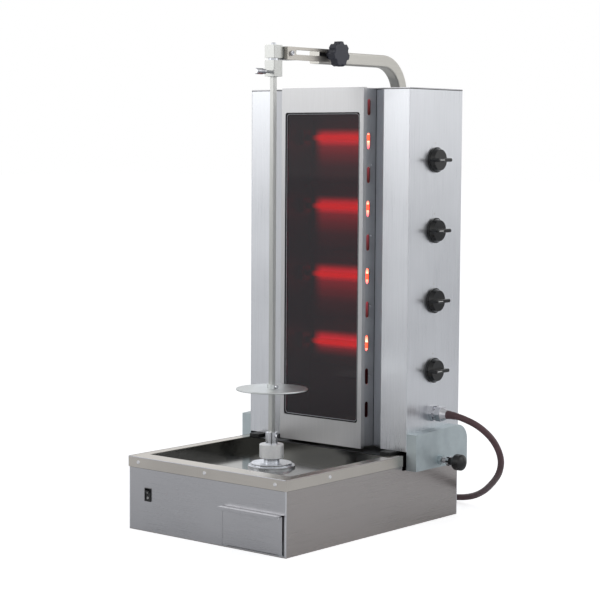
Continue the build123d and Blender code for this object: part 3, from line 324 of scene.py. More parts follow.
def object_place(tree):
    return add_node(tree, "ShaderNodeTexCoord").outputs["Object"]


def object_parts(tree):
    return add_node(tree, "ShaderNodeSeparateXYZ", Vector=object_place(tree)).outputs


def roughen(tree, surface, height, strength, distance=0.0002):
    relief = add_node(tree, "ShaderNodeBump", {"Strength": strength, "Distance": distance}, Height=height)
    tree.links.new(relief.outputs["Normal"], surface.inputs["Normal"])


def colour_ramp(tree, source, stops):
    ramp = add_node(tree, "ShaderNodeValToRGB", Fac=source)
    while len(ramp.color_ramp.elements) < len(stops):
        ramp.color_ramp.elements.new(0.5)
    for element, (place, colour) in zip(ramp.color_ramp.elements, stops):
        element.position = place
        element.color = linear(colour)
    return ramp.outputs["Color"]


# %% [markdown]
# ### Brushed stainless steel
# The sheets are AISI 304 with a belt-ground finish: long fine scratches all run one way, upright on the
# tall panels and along the length of the base. They blur reflections across their run. A noise pattern
# squeezed across the run and drawn long along it gives the scratches, in the colour, the roughness and
# the bump. Real scratches are some 0.05 mm wide. They are drawn about 0.6 mm wide here, to show at all.

# %% Make the steel finishes
SCRATCH_MM = 0.6
SCRATCH_RUN_MM = 90.0


def brushed_steel(name, along, dark, light, roughness, blotch=0.35, grooves=0.12):
    material, tree, surface = new_material(name, Metallic=1.0)
    where = object_place(tree)
    squeeze = [1000 / SCRATCH_MM] * 3
    squeeze[along] = 1000 / SCRATCH_RUN_MM
    stretched = add_node(tree, "ShaderNodeMapping", {"Scale": squeeze}, Vector=where)
    scratches = noise(tree, stretched.outputs["Vector"], 1.0, 3.0, 0.6)
    clouds = noise(tree, where, 6.0, 2.0)
    tone = add_node(tree, "ShaderNodeMix", {"data_type": "FLOAT", "Factor": blotch})
    tree.links.new(scratches, tone.inputs["A"])
    tree.links.new(clouds, tone.inputs["B"])
    colour = colour_ramp(tree, tone.outputs["Result"], [(0.3, dark), (0.7, light)])
    tree.links.new(colour, surface.inputs["Base Color"])
    spread = ranged(tree, tone.outputs["Result"], 0.3, 0.7, roughness - 0.05, roughness + 0.07)
    tree.links.new(spread, surface.inputs["Roughness"])
    roughen(tree, surface, scratches, grooves, 0.0001)
    return material


def paint_inner_shade(material):
    """Paint the sheet's inner face near-black as painted shade, which hides the glow on it, and leave the
    outer one bright.
    """
    tree = material.node_tree
    outward = maths(tree, "ABSOLUTE", object_parts(tree)["X"])
    bright = ranged(tree, outward, HOUSING_HALF - 0.4 * MM, HOUSING_HALF - 0.2 * MM)
    tint(material, "#0e0d0d", bright)
    tree.links.new(bright, tree.nodes["Principled BSDF"].inputs["Metallic"])


def paint_tray_shade(material):
    """Painted shade in the sunk tray: darker walls, and the head's shadow painted on its back right floor.
    """
    tree = material.node_tree
    parts = object_parts(tree)
    along = maths(tree, "MULTIPLY_ADD", parts["Y"], TRAY_SHADE_SLANT, parts["X"])
    floor_tone = ranged(tree, along, TRAY_SHADE_START, TRAY_SHADE_FULL, 0.95, 0.3, "SMOOTHSTEP")
    wall_tone = ranged(tree, parts["Z"], TRAY_FLOOR_Z + 1 * MM, TRAY_FLOOR_Z + 5 * MM, 1.0, 0.55)
    tint(material, "#101012", maths(tree, "MINIMUM", floor_tone, wall_tone))


TRAY_SHADE_SLANT = 0.75
TRAY_SHADE_START, TRAY_SHADE_FULL = -0.13, 0.02
TRAY_FLOOR_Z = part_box("bearing_flange")[0].z
HOUSING_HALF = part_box("housing_side_right")[1].x
upright_steel = brushed_steel("stainless_304_belt_ground_upright", 2, "#d2d4d8", "#e2e4e8", 0.30)
FINE = 0.04
long_steel = brushed_steel(
    "stainless_304_belt_ground_lengthwise", 1, "#aba6a4", "#b3aeac", 0.28, grooves=FINE
)
cross_steel = brushed_steel(
    "stainless_304_belt_ground_crosswise", 0, "#b8b8bb", "#c0c0c3", 0.28, grooves=FINE
)
frame_steel = brushed_steel("stainless_304_belt_ground_frame", 2, "#b8b8b9", "#c8c8c9", 0.34)
rim_steel = brushed_steel("stainless_304_rim_worn_warm", 0, "#bfbab3", "#ccc7c0", 0.30, blotch=0.6)
disc_steel = brushed_steel("stainless_304_disc_sanded", 0, "#cfd3d3", "#dde0e0", 0.4)
# The deck under the head is painted dark grey: the head's shadow painted on it.
shadowed_deck_steel = brushed_steel("stainless_304_deck_painted_shadow", 0, "#343436", "#444446", 0.35)
tray_steel = brushed_steel("stainless_304_tray_wiped_painted_shade", 0, "#9a9a97", "#b4b4b0", 0.11)
bar_steel = brushed_steel("stainless_304_drawn_bar", 2, "#b2b3b1", "#c8c9c6", 0.3, blotch=0.2)
tube_steel = brushed_steel("stainless_304_polished_tube", 1, "#b5b3ad", "#c6c4be", 0.34)
arm_steel = brushed_steel("stainless_304_slotted_flat_bar", 1, "#bab6af", "#ccc8c1", 0.5)
turned_steel = brushed_steel("stainless_304_turned", 0, "#cdd0d6", "#dfe1e5", 0.24, blotch=0.2)
# The housing's inner faces are painted near-black shade. The outer faces keep the brushed steel.
housing_steel = brushed_steel("stainless_304_painted_shade_inside", 2, "#a9abae", "#babcbf", 0.30)
paint_inner_shade(housing_steel)
# The tray's darker walls and back right floor are painted shade.
paint_tray_shade(tray_steel)
print("steel finishes:", 13)

# %% [markdown]
# ### Zinc-plated steel
# The side brackets are mild steel, electroplated with zinc. The plating is thin and follows the sheet's
# grain in soft bluish clouds a few centimetres across, duller than the stainless sheets beside it.

# %% Make the zinc, the nickel and the dark metals
CLOUD_MM = 28.0


def clouded_metal(name, dark, light, roughness, metallic=1.0, cloud_mm=CLOUD_MM, bump=0.1):
    material, tree, surface = new_material(name, Metallic=metallic)
    where = object_place(tree)
    clouds = noise(tree, where, 1000 / cloud_mm, 5.0, 0.62)
    tree.links.new(colour_ramp(tree, clouds, [(0.32, dark), (0.68, light)]), surface.inputs["Base Color"])
    spread = ranged(tree, clouds, 0.3, 0.7, roughness - 0.07, roughness + 0.1)
    tree.links.new(spread, surface.inputs["Roughness"])
    roughen(tree, surface, noise(tree, where, 900.0, 2.0), bump)
    return material


zinc = clouded_metal("zinc_electroplated_steel", "#aeb8bc", "#bec8cb", 0.5, bump=0.25)
nickel = clouded_metal("nickel_plated_brass", "#b6b7bc", "#cfd0d4", 0.1, cloud_mm=9.0, bump=0.04)
cast_alloy = clouded_metal("aluminium_gravity_cast", "#85878a", "#9c9ea0", 0.5, cloud_mm=14.0, bump=0.5)
knurled_steel = clouded_metal(
    "stainless_304_turned_and_knurled", "#f0f1f2", "#fbfbfb", 0.5, metallic=0.8, cloud_mm=3.0, bump=0.2
)
rivet_and_highlight_steel = clouded_metal("nickel_plated_rivet_domed_and_drawer_highlight", "#dcdcde", "#ececee", 0.3, cloud_mm=5.0, bump=0.03)
ground_edge = clouded_metal(
    "ceramic_glass_ground_edge", "#96969a", "#b0b0b4", 0.5, metallic=0.4, cloud_mm=6.0
)
rail_black = clouded_metal("phosphated_steel_black", "#151617", "#222324", 0.55, metallic=0.3)
motor_paint = clouded_metal("motor_enamel_black", "#1b1d20", "#26292d", 0.42, metallic=0.0, bump=0.2)
print("plated, coated and cast metals:", 8)

# %% [markdown]
# ### Moulded plastics and rubber
# The heat knobs are glossy black phenolic, the switch and the ball knobs black nylon, and the star knob
# dark nylon with a spark-eroded texture. The cable's sheath is reddish brown silicone rubber, dull, with
# a faint talc bloom.


# %% Make the plastics, the rubber and the ceramic
def moulded(name, dark, light, roughness, grain_mm, bump, sheen=0.0):
    material, tree, surface = new_material(name, Sheen_Weight=sheen)
    where = object_place(tree)
    wear = noise(tree, where, 45.0, 4.0)
    tree.links.new(colour_ramp(tree, wear, [(0.35, dark), (0.7, light)]), surface.inputs["Base Color"])
    spread = ranged(tree, wear, 0.3, 0.7, roughness - 0.04, roughness + 0.08)
    tree.links.new(spread, surface.inputs["Roughness"])
    roughen(tree, surface, noise(tree, where, 1000 / grain_mm, 2.0), bump)
    return material


knob_black = moulded("phenolic_moulded_gloss_black", "#060708", "#0e0f10", 0.12, 1.2, 0.05)
switch_black = moulded("nylon_moulded_black", "#0f0f10", "#19191a", 0.35, 0.8, 0.1)
star_grey = moulded("nylon_spark_textured_dark_grey", "#2b2d38", "#363842", 0.45, 0.7, 0.35)
sheath = moulded("silicone_rubber_sheath_brown", "#4a3235", "#5c4246", 0.55, 1.5, 0.25, sheen=0.15)
# The same dark finish serves the real gaskets and the rods that paint shadow lines.
gasket_and_shadow_black = moulded("glass_fibre_woven_gasket_and_shadow_lines", "#141415", "#232325", 0.8, 1.4, 0.8)
steatite = moulded("steatite_ceramic_unglazed", "#6f675c", "#857d70", 0.7, 1.0, 0.3)
marking_white = moulded("pad_printed_white_ink", "#cfcfcc", "#dededb", 0.5, 1.0, 0.05)
print("plastics, rubber and ceramic:", 7)

# %% [markdown]
# ### Glass and glowing elements
# The pane is dark ceramic glass: it lets the red glow out and hides most of the inside. A mix of a
# tinted see-through shader, a grey film and a sharp reflection gives that without slow refraction. Each
# element is a metal-sheathed rod at some 700 degrees, with cold ends. It paints a red haze on the
# reflector behind it.

# %% Make the glass and the glow
GLASS_TINT = "#c45a80"
ELEMENT_PITCH = 139 * MM
ELEMENT_R = 6 * MM
FIRST_ELEMENT_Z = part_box("heating_elements")[0].z + ELEMENT_R
ELEMENT_CORE = "#ff3824"
ELEMENT_ENDS = "#ff2c1c"
ELEMENT_GLOW = 6.5
COLD_END, HOT_START = -0.078, -0.05
REDDER_FROM, REDDER_TO = 0.05, 0.09
HOLDER_SHADE = 0.833
SHADE_SOFT = 22 * MM
HAZE_BELOW = 0.68
HAZE_END, HAZE_FULL = 34 * MM, 14 * MM
SKIN, DEEPER = 0.2 * MM, 0.6 * MM
REFLECTOR_GLOW = 7.0
HAZE = [
    (0.02, "#0c0504"), (0.26, "#331316"), (0.42, "#63282c"), (0.55, "#8d3c42"),
    (0.61, "#d86250"), (0.65, "#ff8a74"), (0.69, "#ff8a74"), (0.73, "#d86250"),
    (0.79, "#6d2c22"), (0.83, "#1c0b08"), (0.95, "#0c0504"),
]


def dark_glass():
    material = bpy.data.materials.new("ceramic_glass_dark_tinted")
    material.use_nodes = True
    tree = material.node_tree
    tree.nodes.clear()
    see_through = add_node(tree, "ShaderNodeBsdfTransparent", {"Color": linear(GLASS_TINT)})
    film = add_node(tree, "ShaderNodeBsdfDiffuse", {"Color": linear("#58575a")})
    shine = add_node(tree, "ShaderNodeBsdfGlossy", {"Color": linear("#ffffff"), "Roughness": 0.03})
    edge = add_node(tree, "ShaderNodeFresnel", {"IOR": 1.2})
    veiled = add_node(tree, "ShaderNodeMixShader", {"Fac": 0.5})
    tree.links.new(see_through.outputs["BSDF"], veiled.inputs[1])
    tree.links.new(film.outputs["BSDF"], veiled.inputs[2])
    pane = add_node(tree, "ShaderNodeMixShader", Fac=edge.outputs["Fac"])
    tree.links.new(veiled.outputs["Shader"], pane.inputs[1])
    tree.links.new(shine.outputs["BSDF"], pane.inputs[2])
    add_node(tree, "ShaderNodeOutputMaterial", Surface=pane.outputs["Shader"])
    return material


def level_in_pitch(tree, height, low):
    """The height above the start of an element's own stretch, from 0 to one pitch, for every element."""
    above = maths(tree, "SUBTRACT", height, FIRST_ELEMENT_Z - low)
    return maths(tree, "FLOORED_MODULO", above, ELEMENT_PITCH)


def glowing(name, strength):
    """The rod is brightest along its middle, dims a little to its edges, and is cold at its left end."""
    material, tree, surface = new_material(name, Roughness=0.6)
    parts = object_parts(tree)
    level = level_in_pitch(tree, parts["Z"], ELEMENT_PITCH / 2)
    edgeward = maths(tree, "ABSOLUTE", maths(tree, "SUBTRACT", level, ELEMENT_PITCH / 2))
    power = ranged(
        tree, edgeward, ELEMENT_R * 0.3, ELEMENT_R * 1.05, strength, strength * 0.85, "SMOOTHSTEP"
    )
    hot = ranged(tree, parts["X"], COLD_END, HOT_START, way="SMOOTHSTEP")
    tree.links.new(maths(tree, "MULTIPLY", power, hot), surface.inputs["Emission Strength"])
    heat = ranged(tree, maths(tree, "ABSOLUTE", parts["X"]), REDDER_FROM, REDDER_TO)
    colour = colour_ramp(tree, heat, [(0.0, ELEMENT_CORE), (1.0, ELEMENT_ENDS)])
    tree.links.new(colour, surface.inputs["Emission Color"])
    surface.inputs["Base Color"].default_value = linear("#3a1210")
    return material


def lit_reflector():
    """Heat-stained sheet with a painted red glow, widest below the rod, for the haze each element throws.

    The left holders' painted shadow darkens the sheet's left end along a slanting line. Only its front
    face glows, and nothing far below the lowest rod.
    """
    plate_low, plate_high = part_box("reflector_plate")
    material, tree, surface = new_material("aluminised_steel_heat_stained_painted_glow", Roughness=0.6, Metallic=0.4)
    surface.inputs["Base Color"].default_value = linear("#3c3836")
    parts = object_parts(tree)
    level = level_in_pitch(tree, parts["Z"], ELEMENT_PITCH * HAZE_BELOW)
    haze = colour_ramp(tree, ranged(tree, level, 0.0, ELEMENT_PITCH), HAZE)
    slant = maths(tree, "MULTIPLY_ADD", parts["Y"], HOLDER_SHADE, parts["X"])
    shade_end = HOLDER_SHADE * plate_high.y + plate_low.x
    outward = maths(tree, "ABSOLUTE", parts["X"])
    lit = ranged(tree, slant, shade_end, shade_end + SHADE_SOFT)
    for limit in (
        ranged(tree, parts["Z"], FIRST_ELEMENT_Z - HAZE_END, FIRST_ELEMENT_Z - HAZE_FULL),
        ranged(tree, parts["Y"], plate_high.y - SKIN, plate_high.y - DEEPER),
        ranged(tree, outward, plate_high.x - SKIN, plate_high.x - DEEPER),
    ):
        lit = maths(tree, "MULTIPLY", lit, limit)
    faded = add_node(tree, "ShaderNodeMix", {"data_type": "RGBA"}, Factor=lit)
    faded.inputs["A"].default_value = (0, 0, 0, 1)
    tree.links.new(haze, faded.inputs["B"])
    tree.links.new(faded.outputs["Result"], surface.inputs["Emission Color"])
    surface.inputs["Emission Strength"].default_value = REFLECTOR_GLOW
    return material


reflector_metal = lit_reflector()
glass = dark_glass()
element_glow = glowing("resistance_element_glowing", ELEMENT_GLOW)
print("glass and glow ready")

# %% [markdown]
# ## Finishes for the CAD pieces
# Each CAD piece keeps its shape and takes the finish of what it is made of.

# %% Give each CAD piece its finish
finishes = {
    upright_steel: ["left_column", "right_column", "rear_cover"],
    housing_steel: ["housing_side_left", "housing_side_right"],
    frame_steel: ["front_frame"],
    long_steel: ["base_pan"],
    rim_steel: ["rim_front", "rim_left", "rim_right"],
    cross_steel: ["base_front_panel", "base_rear_panel", "drawer_front", "drawer_box", "roof_panel",
                  "head_floor"],
    shadowed_deck_steel: ["rear_deck"],
    tray_steel: ["drip_tray"],
    bar_steel: ["spindle_bar", "top_clamp_block", "bearing_block"],
    tube_steel: ["mast_tube"],
    arm_steel: ["extension_bar"],
    turned_steel: ["bearing_flange", "spindle_collar", "drive_shaft", "pivot_pin"],
    knurled_steel: ["spindle_coupling"],
    disc_steel: ["meat_disc"],
    rivet_and_highlight_steel: ["rim_rivets"],
    nickel: ["cable_gland", "collar_screw", "disc_set_screw", "thumb_screw"],
    zinc: ["bracket_left", "bracket_right", "drawer_runners", "mast_brackets"],
    rail_black: ["slide_rails"],
    cast_alloy: ["gearbox"],
    motor_paint: ["gear_motor"],
    reflector_metal: ["reflector_plate"],
    knob_black: ["heat_knob_1", "heat_knob_2", "heat_knob_3", "heat_knob_4"],
    switch_black: ["rocker_bezel", "rocker_paddle", "clamp_knob_left", "clamp_knob_right", "mains_plug",
                   "heat_regulators"],
    star_grey: ["star_knob"],
    steatite: ["element_holders", "terminal_block"],
    gasket_and_shadow_black: ["glass_gasket"],
    glass: ["glass_panel"],
    element_glow: ["heating_elements"],
    sheath: ["mains_cable", "cable_coil"],
}
for material, names in finishes.items():
    for name in names:
        nodes[name].data.materials.clear()
        nodes[name].data.materials.append(material)
unfinished = set(nodes) - {name for names in finishes.values() for name in names}
print("CAD pieces without a finish:", sorted(unfinished))

# %% [markdown]
# ## The cable on its body
# The cable and its sleeve leave the head's side, so both ride on the head. The curve takes the place of
# the CAD cable and its ring, and the plug at its end stays the CAD piece.

# %% Put the cable and its sleeve on the head
cable.data.materials.append(sheath)
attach(cable, "head")
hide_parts("mains_cable", "cable_coil")
sleeve.data.materials.append(sheath)
deselect()
sleeve.select_set(True)
bpy.context.view_layer.objects.active = sleeve
bpy.ops.object.shade_smooth_by_angle(angle=radians(50))
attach(sleeve, "head")

# %% [markdown]
# ## Screws
# The sheets are held by pan-head screws, and the mast brackets by bigger ones. A head is a low cylinder
# with a rounded crown and a socket, inset and pushed down in edit mode. Its copies go to every place
# where a screw sits, each with its own mesh.

# %% Model one screw head
SCREW_SIDES = 24


def screw_head(name, width, height, material):
    deselect()
    bpy.ops.mesh.primitive_cylinder_add(
        vertices=SCREW_SIDES, radius=width / 2, depth=height, location=(0, 0, height / 2)
    )
    head = bpy.context.object
    bpy.ops.object.transform_apply(location=True)
    select_faces(head, lambda centre, normal: normal.z > 0.9)
    bpy.ops.mesh.inset(thickness=width * 0.28)
    bpy.ops.mesh.extrude_region_move(TRANSFORM_OT_translate={"value": (0, 0, -height * 0.55)})
    bpy.ops.object.mode_set(mode="OBJECT")
    bevel(head, height * 0.3, 3)
    head.name = name
    head.data.name = name
    head.data.materials.append(material)
    deselect()
    head.select_set(True)
    bpy.context.view_layer.objects.active = head
    bpy.ops.object.shade_smooth_by_angle(angle=radians(35))
    return head


small_screw = screw_head("small_screw_pattern", 7.5 * MM, 2.2 * MM, nickel)
large_screw = screw_head("large_screw_pattern", 11 * MM, 4 * MM, nickel)
tiny_screw = screw_head("tiny_screw_pattern", 4.2 * MM, 1.2 * MM, nickel)
print("screw head faces:", len(small_screw.data.polygons))

# %% [markdown]
# Screws sit round the rear cover, on the mast brackets, along the base's back and between the slots in
# the housing's sides. Each copy is turned a bit further than the one before, as a fitter leaves them.

# %% Set the screws
cover_low, cover_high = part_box("rear_cover")
back_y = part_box("base_rear_panel")[1].y
mast_low, mast_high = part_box("mast_brackets")
side_low, side_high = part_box("housing_side_right")
plate_face = cover_high.y + 3 * MM

screw_count = 0


def set_screw(pattern, body, spot, direction):
    global screw_count
    screw_count += 1
    matrix = facing(spot, direction, spin=0.4 * screw_count)
    return copy_piece(pattern, f"screw_{screw_count:02d}", body, matrix)


COVER_INSET = 7 * MM
TAB_X = 70 * MM
MAST_SCREW_IN = 25 * MM
MAST_SCREW_X = 28 * MM
MAST_SCREW_Z = 14 * MM
BACK_SCREW_X = 180 * MM
BACK_SCREW_Z = (12 * MM, 112 * MM)
SLOT_SCREW_Y = 96.5 * MM
SLOT_SCREW_START, SLOT_SCREW_STEP = 0.14, 0.1395
for x in (cover_low.x + COVER_INSET, cover_high.x - COVER_INSET):
    for step in range(5):
        z = cover_low.z + COVER_INSET + (cover_high.z - cover_low.z - 2 * COVER_INSET) * step / 4
        set_screw(small_screw, "head", (x, cover_high.y, z), (0, 1, 0))
for z in (cover_low.z + COVER_INSET, cover_high.z - COVER_INSET):
    for x in (-TAB_X, TAB_X):
        set_screw(small_screw, "head", (x, cover_high.y, z), (0, 1, 0))
for middle in (mast_low.z + MAST_SCREW_IN, mast_high.z - MAST_SCREW_IN):
    for x in (-MAST_SCREW_X, MAST_SCREW_X):
        for z in (middle - MAST_SCREW_Z, middle + MAST_SCREW_Z):
            set_screw(large_screw, "head", (x, plate_face, z), (0, 1, 0))
for x in (-BACK_SCREW_X, 0.0, BACK_SCREW_X):
    for z in BACK_SCREW_Z:
        set_screw(small_screw, "base", (x, back_y, z), (0, 1, 0))
for step in range(4):
    z = side_low.z + SLOT_SCREW_START + step * SLOT_SCREW_STEP
    for way in (1, -1):
        set_screw(tiny_screw, "head", (way * side_high.x, SLOT_SCREW_Y, z), (way, 0, 0))
print("screws set:", screw_count)

# %% [markdown]
# One more screw holds the slotted bar's front end to the bearing block. The patterns have done their
# work after that, and go.

# %% Add the link screw at the end of the slotted bar
bar_low, bar_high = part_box("extension_bar")
link = screw_head("link_screw", 10 * MM, 5 * MM, nickel)
link.data.transform(facing((bar_high.x, bar_low.y + 11 * MM, (bar_low.z + bar_high.z) / 2), (1, 0, 0)))
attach(link, "arm_extension")
for pattern in (small_screw, large_screw, tiny_screw):
    bpy.data.objects.remove(pattern)

# %% [markdown]
# ## Jam nuts
# A plated hexagon nut locks each clamp screw's ball knob. A bevel rounds its corners, and its end faces
# are sunk a little round the screw.

# %% Fit the jam nuts
NUT_ACROSS = 17.4 * MM
NUT_T = 6.4 * MM
NUT_IN = 37 * MM
SCREW_R = 5 * MM
for side, sign in (("right", 1), ("left", -1)):
    grip_low, grip_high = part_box(f"clamp_knob_{side}")
    deselect()
    bpy.ops.mesh.primitive_cylinder_add(vertices=6, radius=NUT_ACROSS / 2 / cos(pi / 6), depth=NUT_T)
    nut = bpy.context.object
    select_faces(nut, lambda centre, normal: abs(normal.z) > 0.9)
    bpy.ops.mesh.inset(thickness=NUT_ACROSS / 2 - SCREW_R * 1.3)
    bpy.ops.mesh.extrude_region_shrink_fatten(TRANSFORM_OT_shrink_fatten={"value": -0.5 * MM})
    bpy.ops.object.mode_set(mode="OBJECT")
    bevel(nut, 0.7 * MM, 2)
    reach = grip_high.x if sign > 0 else grip_low.x
    spot = (reach - sign * NUT_IN, (grip_low.y + grip_high.y) / 2, (grip_low.z + grip_high.z) / 2)
    complete(nut, f"jam_nut_{side}", f"clamp_{side}", nickel, facing(spot, (sign, 0, 0)))
print("jam nuts fitted")

# %% [markdown]
# ## Folded edges
# A press brake never leaves a sharp corner: the sheet turns over a radius of a millimetre or two, and
# that round edge catches the light as a thin bright line. The CAD sheets meet in sharp corners, so a
# slim rod sunk into each fold gives the round, with its ends drawn in to a cone.

# %% Model the folds
FOLD_R = 1.1 * MM


def slim_rod(name, start, end, body, material, radius=FOLD_R, sink=(0, 0, 0), sides=20, drawn_in=0.4):
    start, end, sink = Vector(start), Vector(end), Vector(sink)
    run = end - start
    deselect()
    bpy.ops.mesh.primitive_cylinder_add(vertices=sides, radius=radius, depth=run.length)
    rod = bpy.context.object
    select_faces(rod, lambda centre, normal: abs(normal.z) > 0.9)
    bpy.ops.mesh.inset(thickness=radius * drawn_in)
    bpy.ops.mesh.extrude_region_shrink_fatten(TRANSFORM_OT_shrink_fatten={"value": radius * 0.3})
    return complete(rod, name, body, material, facing((start + end) / 2 + sink, run))


base_low, base_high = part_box("base_pan")
column_low, column_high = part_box("right_column")
rim_low, rim_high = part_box("rim_front")
SINK = 0.75 * MM
FOLD_LOW, FOLD_HIGH = 2 * MM, 122.5 * MM
CHEEK_X = 140.5 * MM
CHEEK_Y = 112 * MM
COLUMN_Y = 90.3 * MM
COLUMN_REAR_Y = 266.5 * MM
for side, sign in (("right", 1), ("left", -1)):
    edge_x = sign * base_high.x
    for end, y, inward in (("front", base_low.y, 1), ("rear", base_high.y, -1)):
        slim_rod(
            f"base_fold_{side}_{end}", (edge_x, y, FOLD_LOW), (edge_x, y, FOLD_HIGH), "base", upright_steel,
            sink=(-sign * SINK, inward * SINK, 0),
        )
    for end, x, y, way in (
        ("outer", sign * column_high.x, COLUMN_Y, (-sign * SINK, SINK, 0)),
        ("inner", sign * CHEEK_X, COLUMN_Y, (-sign * SINK * 0.2, SINK, 0)),
        ("rear", sign * column_high.x, COLUMN_REAR_Y, (-sign * SINK, -SINK, 0)),
    ):
        slim_rod(
            f"column_fold_{side}_{end}", (x, y, column_low.z + 1 * MM), (x, y, column_high.z - 1 * MM),
            "head", upright_steel, sink=way,
        )
    slim_rod(
        f"rim_fold_{side}", (sign * rim_high.x, rim_low.y + 1 * MM, rim_high.z),
        (sign * rim_high.x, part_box("rim_right")[1].y - 1 * MM, rim_high.z), "base", long_steel,
        sink=(-sign * SINK, 0, -SINK),
    )
slim_rod(
    "rim_fold_front", (rim_low.x + 1 * MM, rim_low.y, rim_high.z),
    (rim_high.x - 1 * MM, rim_low.y, rim_high.z), "base", cross_steel, sink=(0, SINK, -SINK),
)
print("folded edges ready")

# %% [markdown]
# ## Drawer pull
# The drawer's lip ends in a rolled edge that a finger hooks under. It is a slim rod with drawn-in ends,
# and it catches the brightest line on the front. Its pale rivet finish, brighter than the drawer's own
# steel, adds a painted highlight to that real rounded edge.

# %% Roll the drawer's edge
front_low, front_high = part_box("drawer_front")
ROLL_R = 3.4 * MM
roll_y = front_low.y + ROLL_R + 0.4 * MM
roll_z = front_high.z - ROLL_R * 0.9
slim_rod(
    "drawer_rolled_edge", (front_low.x + 1 * MM, roll_y, roll_z), (front_high.x - 1 * MM, roll_y, roll_z),
    "drawer", rivet_and_highlight_steel, radius=ROLL_R, sides=28, drawn_in=0.35,
)
print("drawer edge rolled")

# %% [markdown]
# ## Shadow lines
# Thin dark rods in the joints are painted shadow lines: under the rim's band, and where a housing side
# meets the column's slanted cheek.

# %% Lay the painted shadow lines
SHADOW_LINE_R = 0.8 * MM
panel_low, panel_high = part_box("base_front_panel")
slim_rod(
    "shadow_line_under_rim_front", (panel_low.x + 2 * MM, panel_low.y, rim_low.z),
    (panel_high.x - 2 * MM, panel_low.y, rim_low.z), "base", gasket_and_shadow_black, radius=SHADOW_LINE_R,
)
for side, sign in (("right", 1), ("left", -1)):
    slim_rod(
        f"shadow_line_under_rim_{side}", (sign * base_high.x, panel_low.y + 2 * MM, rim_low.z),
        (sign * base_high.x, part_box("rim_right")[1].y - 2 * MM, rim_low.z), "base", gasket_and_shadow_black,
        radius=SHADOW_LINE_R,
    )
    slim_rod(
        f"shadow_line_cheek_{side}", (sign * HOUSING_HALF, CHEEK_Y, column_low.z + 1 * MM),
        (sign * HOUSING_HALF, CHEEK_Y, column_high.z - 1 * MM), "head", gasket_and_shadow_black, radius=SHADOW_LINE_R,
    )
print("seams run")

# %% [markdown]
# ## Trim of the glass
# The window's edge is a dark seal with a bright ground edge of the glass inside it. Both are flat rings
# with rounded corners: a plane with bevelled corners, inset, emptied and given its depth.

# %% Fit the window trim
FRAME_FRONT_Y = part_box("front_frame")[0].y
WINDOW_HALF = 95.3 * MM
WINDOW_LOW, WINDOW_HIGH = 0.199, 0.814


def window_ring(name, inside, width, depth, front_y, corner, material):
    """A flat ring that starts some way inside the window's edge and reaches back from front_y."""
    deselect()
    bpy.ops.mesh.primitive_plane_add(size=1)
    ring = bpy.context.object
    ring.scale = (2 * (WINDOW_HALF - inside), WINDOW_HIGH - WINDOW_LOW - 2 * inside, 1)
    bpy.ops.object.transform_apply(location=False, rotation=False, scale=True)
    bpy.ops.object.mode_set(mode="EDIT")
    bpy.ops.mesh.select_all(action="SELECT")
    bpy.ops.mesh.bevel(affect="VERTICES", offset=corner, segments=8)
    bpy.ops.mesh.select_all(action="SELECT")
    bpy.ops.mesh.inset(thickness=width)
    bpy.ops.mesh.delete(type="FACE")
    bpy.ops.object.mode_set(mode="OBJECT")
    solid = ring.modifiers.new("depth", "SOLIDIFY")
    solid.thickness = depth
    solid.offset = -1
    bpy.ops.object.modifier_apply(modifier=solid.name)
    bevel(ring, 0.25 * MM, 2)
    middle = Matrix.Translation((0, front_y, (WINDOW_LOW + WINDOW_HIGH) / 2))
    return complete(ring, name, "head", material, middle @ Matrix.Rotation(pi / 2, 4, "X"))


window_ring("window_seal", 0, 2.4 * MM, 2.0 * MM, FRAME_FRONT_Y + 0.8 * MM, 9 * MM, gasket_and_shadow_black)
window_ring(
    "window_glass_edge", 2.4 * MM, 1.3 * MM, 1.2 * MM, FRAME_FRONT_Y + 1.6 * MM, 7 * MM, ground_edge
)
print("window trim fitted")

# %% [markdown]
# ## Roof shadow line
# A thin black rod along the tops of the columns is the painted shadow line under the roof plate.

# %% Lay the roof's painted shadow line
ROOF_SHADOW_R = 0.8 * MM
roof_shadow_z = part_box("roof_panel")[0].z - 0.5 * MM
for side, sign in (("right", 1), ("left", -1)):
    outer = sign * column_high.x
    slim_rod(
        f"roof_shadow_line_{side}_front", (sign * CHEEK_X, COLUMN_Y, roof_shadow_z), (outer, COLUMN_Y, roof_shadow_z), "head",
        gasket_and_shadow_black, ROOF_SHADOW_R, sink=(0, 0.4 * MM, 0),
    )
    slim_rod(
        f"roof_shadow_line_{side}", (outer, COLUMN_Y, roof_shadow_z), (outer, COLUMN_REAR_Y, roof_shadow_z), "head",
        gasket_and_shadow_black, ROOF_SHADOW_R, sink=(-sign * 0.4 * MM, 0, 0),
    )
    slim_rod(
        f"roof_shadow_line_{side}_cheek", (sign * HOUSING_HALF, CHEEK_Y, roof_shadow_z),
        (sign * CHEEK_X, COLUMN_Y, roof_shadow_z), "head", gasket_and_shadow_black, ROOF_SHADOW_R, sink=(0, 0.4 * MM, 0),
    )
print("roof seal laid")

# %% [markdown]
# ## Marks
# Each heat knob has a white line that shows which way it points, with a dot on the panel above it, and
# the motor switch has a bar and a ring. They are thin raised prints, so they stay sharp in any render.

# %% Print the marks
PRINT_T = 0.25 * MM


def printed_bar(name, width, length, body, place):
    deselect()
    bpy.ops.mesh.primitive_cube_add(size=1, location=(0, 0, PRINT_T / 2))
    bar = bpy.context.object
    bar.scale = (width, length, PRINT_T)
    bpy.ops.object.transform_apply(location=True, scale=True)
    bevel(bar, PRINT_T * 0.4, 2)
    return complete(bar, name, body, marking_white, place)


